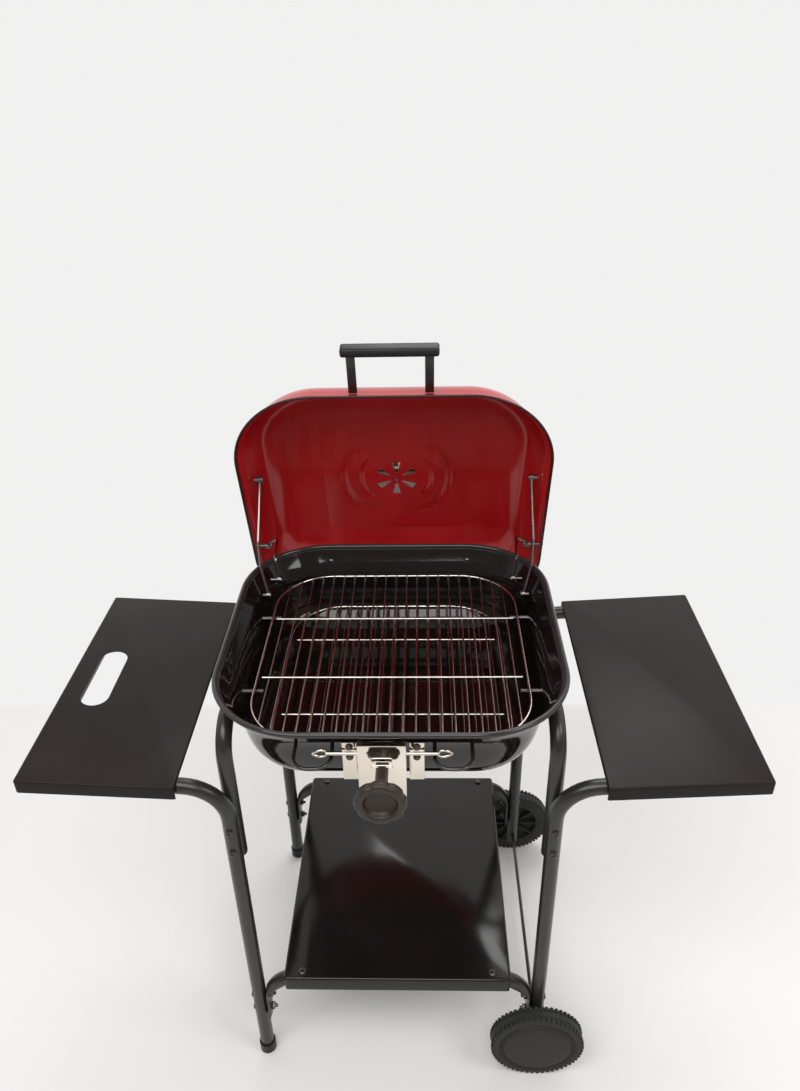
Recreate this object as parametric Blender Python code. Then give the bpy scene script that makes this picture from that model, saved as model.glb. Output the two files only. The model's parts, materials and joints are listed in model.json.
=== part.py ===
"""Charcoal trolley grill: enamelled bowl and lid on a tubular trolley with two side tables.

World frame in metres: +X to the grill's right, +Y to its back, +Z up. The origin lies on the
floor, in the middle between the four legs.
"""
import math

import bmesh
import bpy
from mathutils import Matrix, Vector

GAP = 0.0003            # clearance between pieces that touch
SHEET = 0.0012          # table and shelf sheet
ENAMEL = 0.0015         # bowl and lid sheet

# Trolley tubes
TUBE_R = 0.011
TUBE_WALL = 0.0015
TUBE_X = 0.221          # legs, left and right
LEG_Y = 0.199           # legs, front and back
SEAM_Z = 0.421          # top of the lower legs
RIGHT_LEG_FOOT_Z = 0.047
CAP_R = 0.0135
CAP_H = 0.022
CAP_FLOOR = 0.003
CARRIER_Y = LEG_Y - 2.0 * TUBE_R - GAP
CARRIER_FOOT_Z = 0.456
CARRIER_TOP_Z = 0.677
CARRIER_BEND = 0.045
BRACE_X = TUBE_X - 2.0 * TUBE_R - GAP
BRACE_FOOT_Z = 0.103
BRACE_BEND = 0.040
ARM_BEND = 0.060
ARM_CORNER = 0.040

# Side tables
TABLE_IN_X = 0.2812
TABLE_OUT_X = 0.4924
TABLE_Y = 0.2163
TABLE_IN_Z = 0.6215
TABLE_OUT_Z = 0.6339
TABLE_FLANGE = 0.0204
SLOT_X = 0.441
SLOT_HALF_LENGTH = 0.0645
SLOT_HALF_WIDTH = 0.0205

# Lower shelf
SHELF_X = 0.1766
SHELF_Y = 0.2117
SHELF_Z = 0.2067
SHELF_FLANGE = 0.0266
SHELF_BOLT_X = 0.148

# Wheels
WHEEL_R = 0.0735
WHEEL_INNER_Y = 0.2135
WHEEL_OUTER_Y = 0.2395
AXLE_R = 0.003
HUB_CAP_R = 0.054
HUB_CAP_DEPTH = 0.005

# Bowl: a rounded rectangle in plan, its profile given as (inset from the rim, height)
BOWL_X = 0.2397
BOWL_Y = 0.2325
BOWL_CORNER = 0.130
RIM_Z = 0.729
BEAD_R = 0.004
BOWL_PROFILE = (
    (0.0080, 0.7215), (0.0150, 0.7110), (0.0235, 0.6980), (0.0300, 0.6800), (0.0355, 0.6480),
    (0.0410, 0.6300), (0.0530, 0.6150), (0.0740, 0.6010), (0.1030, 0.5910),
)

# Lid: same kind of shape, its profile given as (inset from the rim, depth behind the rim plane)
LID_X = 0.246
LID_Y = 0.239
LID_CORNER = 0.133
LID_BEAD_R = 0.002
LID_PROFILE = (
    (0.0035, 0.0040), (0.0035, 0.0090), (0.0090, 0.0115), (0.0170, 0.0400), (0.0250, 0.0580),
    (0.0370, 0.0720), (0.0570, 0.0835), (0.0850, 0.0900), (0.1200, 0.0930),
)
LID_OPEN_DEG = 74.0
LID_REAR_OPEN = (0.280, 0.5606)      # Y and Z of the rim's rear edge with the lid open
VENT_R = 0.036
VENT_HUB_R = 0.011
VENT_SLOTS = 6
DAMPER_R = 0.042
DAMPER_T = 0.0012
DAMPER_SHUT = math.pi / VENT_SLOTS

# Lid handle, placed by its distance along the lid from the rear edge
HANDLE_POST_X = 0.056
HANDLE_POST_W = 0.013
HANDLE_POST_T = 0.003
HANDLE_DEPTH = 0.025
HANDLE_FOOT_S = 0.466
HANDLE_GRIP_S = 0.531
GRIP_HALF_LENGTH = 0.070
GRIP_H = 0.014
GRIP_W = 0.020

# Lid stays. Pivots on the bowl are (Y, Z); pivots on the lid are (distance from rear edge, depth).
STAY_WIRE_R = 0.0022
PIN_R = 0.003
PIN_HEAD_T = 0.0015
EYE_R = 0.0058
EYE_T = 0.0050
STAY_BEND = 0.006
LONG_BOWL_X = 0.2035
SHORT_BOWL_X = 0.1900
LONG_BEND_X = 0.2160
SHORT_RISE_X = 0.1940
SHORT_BEND_X = 0.1985
STAY_LID_X = 0.2195
LONG_PIN_END_X = 0.216
SHORT_PIN_END_X = 0.208
LID_PIN_END_X = 0.247
LONG_BOWL = (0.1269, 0.6952)
LONG_LID = (0.288, 0.036)
SHORT_BOWL = (0.1599, 0.7038)
SHORT_LID = (0.161, 0.010)

# Grates
COOK_Z = 0.6845
COOK_X = 0.1905
COOK_Y = 0.1985
COOK_CORNER = 0.088
COOK_WIRES = 21
COOK_CROSS_Y = 0.071
COOK_CROSS_X = 0.1825
COAL_Z = 0.6315
COAL_X = 0.168
COAL_Y = 0.186
COAL_CORNER = 0.080
COAL_WIRES = 19
COAL_CROSS_Y = 0.088
COAL_CROSS_X = 0.157
GRATE_FRAME_R = 0.0022
GRATE_WIRE_R = 0.0016

# Bolts that hang the bowl on its carriers and hold the cooking grate
BOWL_BOLT_Y = 0.088
BOWL_BOLT_IN_X = 0.179
BOLT_HEAD_R = 0.0055
BOLT_HEAD_T = 0.0035

# Clamp set on the bowl's front
CLAMP_X = -0.007
PLATE_HALF_W = 0.030
PLATE_TOP_Z = 0.7155
PLATE_BOTTOM_Z = 0.631
PLATE_FRONT_Y = -0.238
PLATE_DEPTH = 0.011
PLATE_T = 0.0015
KNOB_Z = 0.677
KNOB_FACE_Y = -0.297
KNOB_R = 0.032
KNOB_T = 0.014
KNOB_NECK_R = 0.008
KNOB_LOBES = 8
STRIP_X = (-0.0485, 0.0360)
STRIP_W = 0.019
STRIP_T = 0.002
STRIP_Y = -0.2175
STRIP_TOP_Z = 0.7025
STRIP_BOTTOM_Z = 0.640
SCREW_END_Y = -0.1905
ROD_R = 0.002
ROD_HALF = 0.0875
ROD_Y = -0.2235
ROD_WALL_Y = -0.209
ROD_Z = 0.690
HOOK_X = 0.0895
HOOK_HALF_W = 0.0243
HOOK_R = 0.0026
HOOK_Z = 0.676
HOOK_OUT_Y = -0.236
HOOK_WALL_Y = -0.2027

BLACK_PAINT = ("black_paint", (0.012, 0.012, 0.013, 1.0), 0.35, 0.0)
BLACK_ENAMEL = ("black_enamel", (0.006, 0.006, 0.007, 1.0), 0.12, 0.0)
RED_ENAMEL = ("red_enamel", (0.42, 0.012, 0.016, 1.0), 0.15, 0.0)
CHROME = ("chrome", (0.78, 0.77, 0.75, 1.0), 0.12, 1.0)
BLACK_PLASTIC = ("black_plastic", (0.015, 0.014, 0.014, 1.0), 0.5, 0.0)
DARK_STEEL = ("dark_steel", (0.03, 0.03, 0.032, 1.0), 0.4, 1.0)


def clear_scene():
    for obj in list(bpy.data.objects):
        bpy.data.objects.remove(obj, do_unlink=True)


def paint(obj, finish):
    """Give the object its own Principled material."""
    kind, colour, roughness, metallic = finish
    material = bpy.data.materials.new(f"{obj.name}_{kind}")
    material.use_nodes = True
    shader = material.node_tree.nodes["Principled BSDF"]
    shader.inputs["Base Color"].default_value = colour
    shader.inputs["Roughness"].default_value = roughness
    shader.inputs["Metallic"].default_value = metallic
    obj.data.materials.clear()
    obj.data.materials.append(material)


def add_object(name, bm, finish, parent=None, place=None):
    """Turn a bmesh into a named, painted object; place is its location under the parent."""
    bmesh.ops.recalc_face_normals(bm, faces=bm.faces)
    mesh = bpy.data.meshes.new(name)
    bm.to_mesh(mesh)
    bm.free()
    mesh.shade_smooth()
    mesh.set_sharp_from_angle(angle=math.radians(35.0))
    obj = bpy.data.objects.new(name, mesh)
    bpy.context.collection.objects.link(obj)
    if parent is not None:
        obj.parent = parent
    if place is not None:
        obj.location = place
    paint(obj, finish)
    return obj


def add_empty(name, location, rotation=(0.0, 0.0, 0.0)):
    empty = bpy.data.objects.new(name, None)
    bpy.context.collection.objects.link(empty)
    empty.location = location
    empty.rotation_euler = rotation
    bpy.context.view_layer.update()
    return empty


def loft(rings, closed=False):
    """Skin equal-sized rings of points; open lofts get a flat cap at each end."""
    bm = bmesh.new()
    loops = [[bm.verts.new(point) for point in ring] for ring in rings]
    count = len(loops[0])
    pairs = list(zip(loops, loops[1:]))
    if closed:
        pairs.append((loops[-1], loops[0]))
    for lower, upper in pairs:
        for i in range(count):
            j = (i + 1) % count
            bm.faces.new((lower[i], lower[j], upper[j], upper[i]))
    if not closed:
        bm.faces.new(list(reversed(loops[0])))
        bm.faces.new(loops[-1])
    return bm


def rounded_ring(half_x, half_y, corner, height, steps=5):
    """Rounded rectangle in plan at one height."""
    ring = []
    for quarter in range(4):
        centre_x = (half_x - corner) * (1 if quarter in (0, 3) else -1)
        centre_y = (half_y - corner) * (1 if quarter in (0, 1) else -1)
        for step in range(steps + 1):
            angle = math.radians(90.0 * (quarter + step / steps))
            x = centre_x + corner * math.cos(angle)
            y = centre_y + corner * math.sin(angle)
            ring.append(Vector((x, y, height)))
    return ring


def dish(half_x, half_y, corner, outer):
    """Sheet-metal dish: outer is a closed chain of (inset, height) round the sheet's section."""
    rings = [rounded_ring(half_x - inset, half_y - inset, corner - inset, height)
             for inset, height in outer]
    return loft(rings)


def sheet_section(profile, bead_r, bead_height, sheet, up):
    """Section of a dish with a rolled bead: inner face from the middle out, bead, outer face back.

    up is +1 where the dish's floor lies below its rim and -1 where it lies above.
    """
    inner = [(inset + sheet, height + up * 0.35 * sheet) for inset, height in profile]
    inner[-1] = (profile[-1][0], profile[-1][1] + up * sheet)
    section = list(reversed(inner))
    for step in range(4):
        angle = math.radians(-10.0 + 200.0 * step / 3.0)
        inset = bead_r + bead_r * math.cos(angle)
        section.append((inset, bead_height + up * bead_r * math.sin(angle)))
    section.extend(profile)
    return section


def fillet_path(corners, radii, steps=6):
    """Polyline through the corners with each inner corner turned into an arc."""
    points = [Vector(corners[0])]
    for index in range(1, len(corners) - 1):
        corner = Vector(corners[index])
        back = (Vector(corners[index - 1]) - corner).normalized()
        ahead = (Vector(corners[index + 1]) - corner).normalized()
        half = back.angle(ahead) / 2.0
        radius = radii[index - 1]
        centre = corner + (back + ahead).normalized() * (radius / math.sin(half))
        start = corner + back * (radius / math.tan(half)) - centre
        axis = back.cross(ahead).normalized()
        sweep = math.pi - 2.0 * half
        for step in range(steps + 1):
            turn = Matrix.Rotation(-sweep * step / steps, 3, axis)
            points.append(centre + turn @ start)
    points.append(Vector(corners[-1]))
    return points


def path_frames(points):
    """Right and up vectors at each point, carried along the path without twist."""
    tangents = []
    for index, point in enumerate(points):
        before = points[max(index - 1, 0)]
        after = points[min(index + 1, len(points) - 1)]
        tangents.append((after - before).normalized())
    helper = Vector((0.0, 0.0, 1.0))
    if abs(tangents[0].dot(helper)) > 0.9:
        helper = Vector((0.0, 1.0, 0.0))
    right = tangents[0].cross(helper).normalized()
    frames = []
    for tangent in tangents:
        right = (right - tangent * right.dot(tangent)).normalized()
        frames.append((right, tangent.cross(right)))
    return frames


def round_rings(points, radius, sides):
    rings = []
    for point, (right, up) in zip(points, path_frames(points)):
        ring = []
        for side in range(sides):
            angle = 2.0 * math.pi * (side + 0.5) / sides
            ring.append(point + right * (radius * math.cos(angle)) + up * (radius * math.sin(angle)))
        rings.append(ring)
    return rings


def tube(points, radius=TUBE_R, wall=TUBE_WALL, sides=8):
    """Open-ended tube along a path."""
    outer = round_rings(points, radius, sides)
    inner = round_rings(points, radius - wall, sides)
    return loft(outer + list(reversed(inner)), closed=True)


def wire(points, radius, sides=6):
    """Solid round wire along a path."""
    return loft(round_rings(points, radius, sides))


def rod_between(start, end, radius, sides=10):
    return wire([Vector(start), Vector(end)], radius, sides)


def box(low, high):
    bm = bmesh.new()
    bmesh.ops.create_cube(bm, size=1.0)
    low, high = Vector(low), Vector(high)
    size = high - low
    for vert in bm.verts:
        vert.co = low + Vector(((vert.co.x + 0.5) * size.x, (vert.co.y + 0.5) * size.y,
                                (vert.co.z + 0.5) * size.z))
    return bm


def turned(profile, sides, axis_point, axis):
    """Closed profile of (radius, distance along axis) turned about an axis; no point on the axis."""
    axis = Vector(axis).normalized()
    helper = Vector((0.0, 0.0, 1.0)) if abs(axis.z) < 0.9 else Vector((1.0, 0.0, 0.0))
    right = axis.cross(helper).normalized()
    up = axis.cross(right)
    rings = []
    for side in range(sides):
        angle = 2.0 * math.pi * side / sides
        spoke = right * math.cos(angle) + up * math.sin(angle)
        rings.append([Vector(axis_point) + spoke * radius + axis * along for radius, along in profile])
    return loft(rings, closed=True)


def combine(obj, bodies, operation):
    """Union or cut the object with bodies given as bmeshes, and apply the result."""
    for number, body in enumerate(bodies):
        bmesh.ops.recalc_face_normals(body, faces=body.faces)
        mesh = bpy.data.meshes.new(f"{obj.name}_tool_{number}")
        body.to_mesh(mesh)
        body.free()
        tool = bpy.data.objects.new(mesh.name, mesh)
        bpy.context.collection.objects.link(tool)
        tool.parent = obj.parent
        tool.location = obj.location
        bpy.context.view_layer.update()
        modifier = obj.modifiers.new("tool", "BOOLEAN")
        modifier.operation = operation
        modifier.solver = "EXACT"
        modifier.object = tool
        result = bpy.data.meshes.new_from_object(
            obj.evaluated_get(bpy.context.evaluated_depsgraph_get()))
        obj.modifiers.clear()
        old = obj.data
        obj.data = result
        bpy.data.meshes.remove(old)
        bpy.data.objects.remove(tool, do_unlink=True)


def table_height(x):
    """Top face of a side table at a distance from the middle."""
    share = (abs(x) - TABLE_IN_X) / (TABLE_OUT_X - TABLE_IN_X)
    return TABLE_IN_Z + share * (TABLE_OUT_Z - TABLE_IN_Z)


def make_legs():
    for side, side_name in ((-1, "left"), (1, "right")):
        for end, end_name in ((-1, "front"), (1, "rear")):
            foot = CAP_FLOOR + GAP if side < 0 else RIGHT_LEG_FOOT_Z
            x = side * TUBE_X
            y = end * LEG_Y
            points = [Vector((x, y, foot)), Vector((x, y, SEAM_Z))]
            leg = add_object(f"leg_{end_name}_{side_name}", tube(points), BLACK_PAINT)
            if side > 0:
                hole = rod_between((x, y - 0.02, WHEEL_R), (x, y + 0.02, WHEEL_R), AXLE_R + GAP)
                combine(leg, [hole], "DIFFERENCE")
            else:
                make_foot_cap(f"foot_cap_{end_name}", x, y)


def make_foot_cap(name, x, y):
    """Plastic cup on the foot of a left leg."""
    inner = TUBE_R + GAP
    cup = rod_between((x, y, 0.0), (x, y, CAP_H), CAP_R, 16)
    cap = add_object(name, cup, BLACK_PLASTIC)
    socket = rod_between((x, y, CAP_FLOOR), (x, y, CAP_H + 0.01), inner + 0.0003, 16)
    combine(cap, [socket], "DIFFERENCE")


def make_table_arms():
    """Bent tubes that rise from the leg tops and run round under each table."""
    drop = SHEET + GAP + TUBE_R + 0.0004
    outer_x = TABLE_OUT_X - SHEET - TUBE_R - 0.003
    for side, name in ((-1, "left"), (1, "right")):
        inner_z = table_height(TUBE_X) - drop
        outer_z = table_height(outer_x) - drop
        corners = [
            (side * TUBE_X, -LEG_Y, SEAM_Z + GAP), (side * TUBE_X, -LEG_Y, inner_z),
            (side * outer_x, -LEG_Y, outer_z), (side * outer_x, LEG_Y, outer_z),
            (side * TUBE_X, LEG_Y, inner_z), (side * TUBE_X, LEG_Y, SEAM_Z + GAP),
        ]
        path = fillet_path(corners, (ARM_BEND, ARM_CORNER, ARM_CORNER, ARM_BEND), 4)
        add_object(f"table_arm_{name}", tube(path), BLACK_PAINT)


def make_carriers():
    """Inverted U tubes that carry the bowl, drilled for its bolts."""
    for side, name in ((-1, "left"), (1, "right")):
        x = side * TUBE_X
        corners = [
            (x, -CARRIER_Y, CARRIER_FOOT_Z), (x, -CARRIER_Y, CARRIER_TOP_Z),
            (x, CARRIER_Y, CARRIER_TOP_Z), (x, CARRIER_Y, CARRIER_FOOT_Z),
        ]
        path = fillet_path(corners, (CARRIER_BEND, CARRIER_BEND), 5)
        carrier = add_object(f"bowl_carrier_{name}", tube(path), BLACK_PAINT)
        holes = [rod_between((x - 0.02, y, CARRIER_TOP_Z), (x + 0.02, y, CARRIER_TOP_Z), PIN_R + GAP)
                 for y in (-BOWL_BOLT_Y, BOWL_BOLT_Y)]
        combine(carrier, holes, "DIFFERENCE")


def make_braces():
    """Low bent tubes between the left and right legs, under the shelf."""
    top_z = SHELF_Z - SHEET - GAP - TUBE_R
    for end, name in ((-1, "front"), (1, "rear")):
        y = end * LEG_Y
        corners = [
            (-BRACE_X, y, BRACE_FOOT_Z), (-BRACE_X, y, top_z),
            (BRACE_X, y, top_z), (BRACE_X, y, BRACE_FOOT_Z),
        ]
        path = fillet_path(corners, (BRACE_BEND, BRACE_BEND), 5)
        add_object(f"shelf_brace_{name}", tube(path), BLACK_PAINT)


def table_body(side, low_x, high_x, half_y, lift, depth):
    """Slanted slab that follows a table's top face, lifted and this deep."""
    rings = []
    for x in (low_x, high_x):
        z = table_height(x) + lift
        sx = side * x
        rings.append([Vector((sx, -half_y, z)), Vector((sx, half_y, z)),
                      Vector((sx, half_y, z - depth)), Vector((sx, -half_y, z - depth))])
    return loft(rings)


def make_tables():
    """Sheet tables with turned-down edges; the left one has a hand slot."""
    for side, name in ((-1, "left"), (1, "right")):
        body = table_body(side, TABLE_IN_X, TABLE_OUT_X, TABLE_Y, 0.0, TABLE_FLANGE)
        table = add_object(f"side_table_{name}", body, BLACK_PAINT)
        hollow = table_body(side, TABLE_IN_X - 0.01, TABLE_OUT_X - SHEET, TABLE_Y - SHEET, -SHEET,
                            TABLE_FLANGE)
        tools = [hollow]
        if side < 0:
            ring = rounded_ring(SLOT_HALF_WIDTH, SLOT_HALF_LENGTH, SLOT_HALF_WIDTH * 0.999, 0.0, 6)
            low = [point + Vector((-SLOT_X, 0.0, 0.58)) for point in ring]
            high = [point + Vector((-SLOT_X, 0.0, 0.68)) for point in ring]
            tools.append(loft([low, high]))
        combine(table, tools, "DIFFERENCE")


def make_shelf():
    shelf = add_object("shelf", box((-SHELF_X, -SHELF_Y, SHELF_Z - SHELF_FLANGE),
                                    (SHELF_X, SHELF_Y, SHELF_Z)), BLACK_PAINT)
    tools = [box((-SHELF_X - 0.01, -SHELF_Y + SHEET, SHELF_Z - SHELF_FLANGE - 0.01),
                 (SHELF_X + 0.01, SHELF_Y - SHEET, SHELF_Z - SHEET))]
    for side in (-1, 1):
        for end in (-1, 1):
            x = side * SHELF_BOLT_X
            y = end * LEG_Y
            tools.append(rod_between((x, y, SHELF_Z - 0.01), (x, y, SHELF_Z + 0.01), PIN_R + GAP))
            number = 1 + (side > 0) + 2 * (end > 0)
            make_bolt(f"shelf_bolt_{number}", (x, y, SHELF_Z + GAP), (0.0, 0.0, -1.0), SHEET)
    combine(shelf, tools, "DIFFERENCE")


def make_bolt(name, seat, direction, length, parent=None, place=None, finish=DARK_STEEL):
    """Round-headed bolt whose head sits on the seat and whose shank runs along the direction."""
    seat = Vector(seat)
    direction = Vector(direction)
    bolt = add_object(name, rod_between(seat - direction * BOLT_HEAD_T, seat, BOLT_HEAD_R),
                      finish, parent, place)
    shank = rod_between(seat - direction * 0.001, seat + direction * length, PIN_R)
    combine(bolt, [shank], "UNION")
    return bolt


def make_wheels():
    """Axle through the right legs, and a ribbed wheel with a domed cap at each end."""
    axle_end = WHEEL_OUTER_Y - 0.0045
    add_object("axle", rod_between((0.0, -axle_end, 0.0), (0.0, axle_end, 0.0), AXLE_R),
               DARK_STEEL, place=(TUBE_X, 0.0, WHEEL_R))
    width = WHEEL_OUTER_Y - WHEEL_INNER_Y
    profile = (
        (AXLE_R + GAP, 0.0), (0.014, 0.0), (0.014, 0.010), (0.046, 0.010), (0.050, 0.0),
        (WHEEL_R - 0.004, 0.0), (WHEEL_R, 0.004), (WHEEL_R, width - 0.006), (WHEEL_R - 0.005, width),
        (HUB_CAP_R + 0.001, width), (HUB_CAP_R + 0.001, width - 0.004), (AXLE_R + GAP, width - 0.004),
    )
    cap_profile = (
        (HUB_CAP_R, width - 0.004 + GAP), (HUB_CAP_R, width), (HUB_CAP_R * 0.86, width + 0.0025),
        (HUB_CAP_R * 0.6, width + 0.004), (HUB_CAP_R * 0.3, width + HUB_CAP_DEPTH),
    )
    for end, name in ((-1, "front"), (1, "rear")):
        place = (TUBE_X, end * WHEEL_INNER_Y, WHEEL_R)
        axis = (0.0, float(end), 0.0)
        add_object(f"wheel_{name}", turned(profile, 20, (0.0, 0.0, 0.0), axis), BLACK_PLASTIC,
                   place=place)
        rings = []
        for radius, along in cap_profile:
            rings.append([Vector((radius * math.cos(2.0 * math.pi * i / 20), end * along,
                                  radius * math.sin(2.0 * math.pi * i / 20))) for i in range(20)])
        add_object(f"hub_cap_{name}", loft(rings), BLACK_PLASTIC, place=place)


def make_bowl():
    section = sheet_section(BOWL_PROFILE, BEAD_R, RIM_Z - BEAD_R, ENAMEL, 1)
    bowl = add_object("bowl", dish(BOWL_X, BOWL_Y, BOWL_CORNER, section), BLACK_ENAMEL)
    holes = []
    for side, side_name in ((-1, "left"), (1, "right")):
        for end, end_name in ((-1, "front"), (1, "rear")):
            y = end * BOWL_BOLT_Y
            holes.append(rod_between((side * 0.19, y, CARRIER_TOP_Z), (side * 0.23, y, CARRIER_TOP_Z),
                                     PIN_R + GAP))
            seat = (side * (TUBE_X + TUBE_R + GAP), y, CARRIER_TOP_Z)
            length = TUBE_X + TUBE_R + GAP - BOWL_BOLT_IN_X
            make_bolt(f"bowl_bolt_{end_name}_{side_name}", seat, (-side, 0.0, 0.0), length)
        for (y, z), stay_x, outer_x, kind in ((LONG_BOWL, LONG_BOWL_X, LONG_PIN_END_X, "long"),
                                              (SHORT_BOWL, SHORT_BOWL_X, SHORT_PIN_END_X, "short")):
            inner_x = stay_x - EYE_T / 2.0 - GAP - PIN_HEAD_T
            make_pin(f"bowl_pin_{kind}_{side_name}", (side * inner_x, y, z), side, outer_x - inner_x)
            holes.append(rod_between((side * 0.18, y, z), (side * 0.235, y, z), PIN_R + GAP))
    holes.append(rod_between((CLAMP_X, -0.22, KNOB_Z), (CLAMP_X, -0.18, KNOB_Z), PIN_R + GAP))
    combine(bowl, holes, "DIFFERENCE")


def make_pin(name, head, side, length, parent=None, place=None):
    """Pivot pin: a flat head on the inside and a shank that runs outwards through the sheet."""
    head = Vector(head)
    seat = head + Vector((side * PIN_HEAD_T, 0.0, 0.0))
    pin = add_object(name, rod_between(head, seat, BOLT_HEAD_R), DARK_STEEL, parent, place)
    shank = rod_between(seat - Vector((side * 0.001, 0.0, 0.0)),
                        head + Vector((side * length, 0.0, 0.0)), PIN_R)
    combine(pin, [shank], "UNION")


def lid_point(x, distance, depth):
    """Point on the lid, relative to the lid's pivot on its long stays."""
    return Vector((x, LONG_LID[0] - distance, depth - LONG_LID[1]))


def open_position(distance, depth):
    """World Y and Z of a point on the open lid."""
    turn = math.radians(LID_OPEN_DEG)
    y = LID_REAR_OPEN[0] - distance * math.cos(turn) + depth * math.sin(turn)
    z = LID_REAR_OPEN[1] + distance * math.sin(turn) + depth * math.cos(turn)
    return y, z


def shift(bm, offset):
    for vert in bm.verts:
        vert.co += offset
    return bm


def vent_slots(depth_low, depth_high, turn):
    """Radial slots round the lid's middle, turned by an angle and wider towards the vent's rim."""
    bodies = []
    centre = lid_point(0.0, LID_Y, 0.0)
    for slot in range(VENT_SLOTS):
        middle = 2.0 * math.pi * slot / VENT_SLOTS + math.pi / 2.0 + turn
        rings = []
        for depth in (depth_low, depth_high):
            ring = []
            for radius, half in ((VENT_HUB_R, 0.22), (VENT_R, 0.20)):
                order = (-1, 1) if radius == VENT_HUB_R else (1, -1)
                for sign in order:
                    angle = middle + sign * half
                    ring.append(centre + Vector((radius * math.cos(angle), radius * math.sin(angle),
                                                 depth)))
            rings.append(ring)
        bodies.append(loft(rings))
    return bodies


def make_lid():
    """Lid with its vent, handle and stay pins; the short stays' pins end just outside their eyes."""
    y, z = open_position(*LONG_LID)
    frame = add_empty("lid_frame", (0.0, y, z), (-math.radians(LID_OPEN_DEG), 0.0, 0.0))
    section = sheet_section(LID_PROFILE, LID_BEAD_R, LID_BEAD_R, ENAMEL, -1)
    body = shift(dish(LID_X, LID_Y, LID_CORNER, section), lid_point(0.0, LID_Y, 0.0))
    lid = add_object("lid", body, RED_ENAMEL, frame)
    tools = vent_slots(0.080, 0.105, 0.0)
    crown = LID_PROFILE[-1][1]
    centre = lid_point(0.0, LID_Y, crown)
    tools.append(rod_between(centre - Vector((0.0, 0.0, 0.01)), centre + Vector((0.0, 0.0, 0.01)),
                             PIN_R + GAP))
    for side, side_name in ((-1, "left"), (1, "right")):
        for (distance, depth), kind in ((LONG_LID, "long"), (SHORT_LID, "short")):
            inner_x = STAY_LID_X + EYE_T / 2.0 + GAP
            if kind == "long":
                inner_x = STAY_LID_X - EYE_T / 2.0 - GAP - PIN_HEAD_T
            head = lid_point(side * inner_x, distance, depth)
            make_pin(f"lid_pin_{kind}_{side_name}", head, side, LID_PIN_END_X - inner_x, frame)
            tools.append(rod_between(lid_point(side * 0.215, distance, depth),
                                     lid_point(side * 0.260, distance, depth), PIN_R + GAP))
    combine(lid, tools, "DIFFERENCE")
    make_damper(frame, centre)
    make_handle(frame)
    return frame


def make_damper(frame, centre):
    """Slotted disc that turns on a rivet over the vent, on the lid's outer face."""
    face = centre + Vector((0.0, 0.0, GAP))
    disc = turned(((PIN_R + GAP, 0.0), (DAMPER_R, 0.0), (DAMPER_R, DAMPER_T), (PIN_R + GAP, DAMPER_T)),
                  24, (0.0, 0.0, 0.0), (0.0, 0.0, 1.0))
    damper = add_object("lid_damper", disc, CHROME, frame, face)
    slots = [shift(body, -face) for body in vent_slots(0.085, 0.110, DAMPER_SHUT)]
    combine(damper, slots, "DIFFERENCE")
    tab = box((-0.006, DAMPER_R - 0.004, 0.0), (0.006, DAMPER_R + 0.014, DAMPER_T))
    lip = box((-0.006, DAMPER_R + 0.0125, DAMPER_T / 2.0), (0.006, DAMPER_R + 0.014, 0.011))
    combine(damper, [tab, lip], "UNION")
    seat = centre + Vector((0.0, 0.0, 2.0 * GAP + DAMPER_T))
    make_bolt("damper_rivet", seat, (0.0, 0.0, -1.0), 0.006, frame, finish=CHROME)


def make_handle(frame):
    """Grip bar on two flat posts that stand off the lid's front skirt."""
    for side, name in ((-1, "left"), (1, "right")):
        corner = lid_point(side * HANDLE_POST_X, HANDLE_GRIP_S, HANDLE_DEPTH)
        foot = lid_point(side * HANDLE_POST_X, HANDLE_FOOT_S, HANDLE_DEPTH)
        half = Vector((HANDLE_POST_W / 2.0, 0.0, HANDLE_POST_T / 2.0))
        add_object(f"handle_post_{name}", box(corner - half, foot + half), BLACK_PAINT, frame)
    low = lid_point(-GRIP_HALF_LENGTH, HANDLE_GRIP_S + GRIP_H, HANDLE_DEPTH - GRIP_W / 2.0)
    high = lid_point(GRIP_HALF_LENGTH, HANDLE_GRIP_S + GAP, HANDLE_DEPTH + GRIP_W / 2.0)
    grip = box(low, high)
    bmesh.ops.bevel(grip, geom=list(grip.edges), offset=0.004, segments=3, affect="EDGES")
    add_object("handle_grip", grip, BLACK_PLASTIC, frame)


def eye(point):
    """Flat eye whose hole runs along X."""
    profile = ((PIN_R + GAP, -EYE_T / 2.0), (EYE_R, -EYE_T / 2.0), (EYE_R, EYE_T / 2.0),
               (PIN_R + GAP, EYE_T / 2.0))
    return turned(profile, 12, point, (1.0, 0.0, 0.0))


def make_stay(name, side, bowl_x, bowl_pivot, lid_pivot, bends):
    """Wire stay with an eye at each end; bends are its X with Y and Z offsets from the bowl pivot."""
    y, z = open_position(*lid_pivot)
    origin = Vector((0.0, bowl_pivot[0], bowl_pivot[1]))
    start = Vector((side * bowl_x, 0.0, 0.0))
    end = Vector((side * STAY_LID_X, y - origin.y, z - origin.z))
    corners = [start] + [Vector((side * x, dy, dz)) for x, dy, dz in bends] + [end]
    corners[0] = start + (corners[1] - start).normalized() * (EYE_R - 0.0012)
    corners[-1] = end + (corners[-2] - end).normalized() * (EYE_R - 0.0012)
    path = fillet_path(corners, [STAY_BEND] * len(bends), 4)
    stay = add_object(name, wire(path, STAY_WIRE_R), CHROME, place=origin)
    combine(stay, [eye(start), eye(end)], "UNION")


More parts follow.
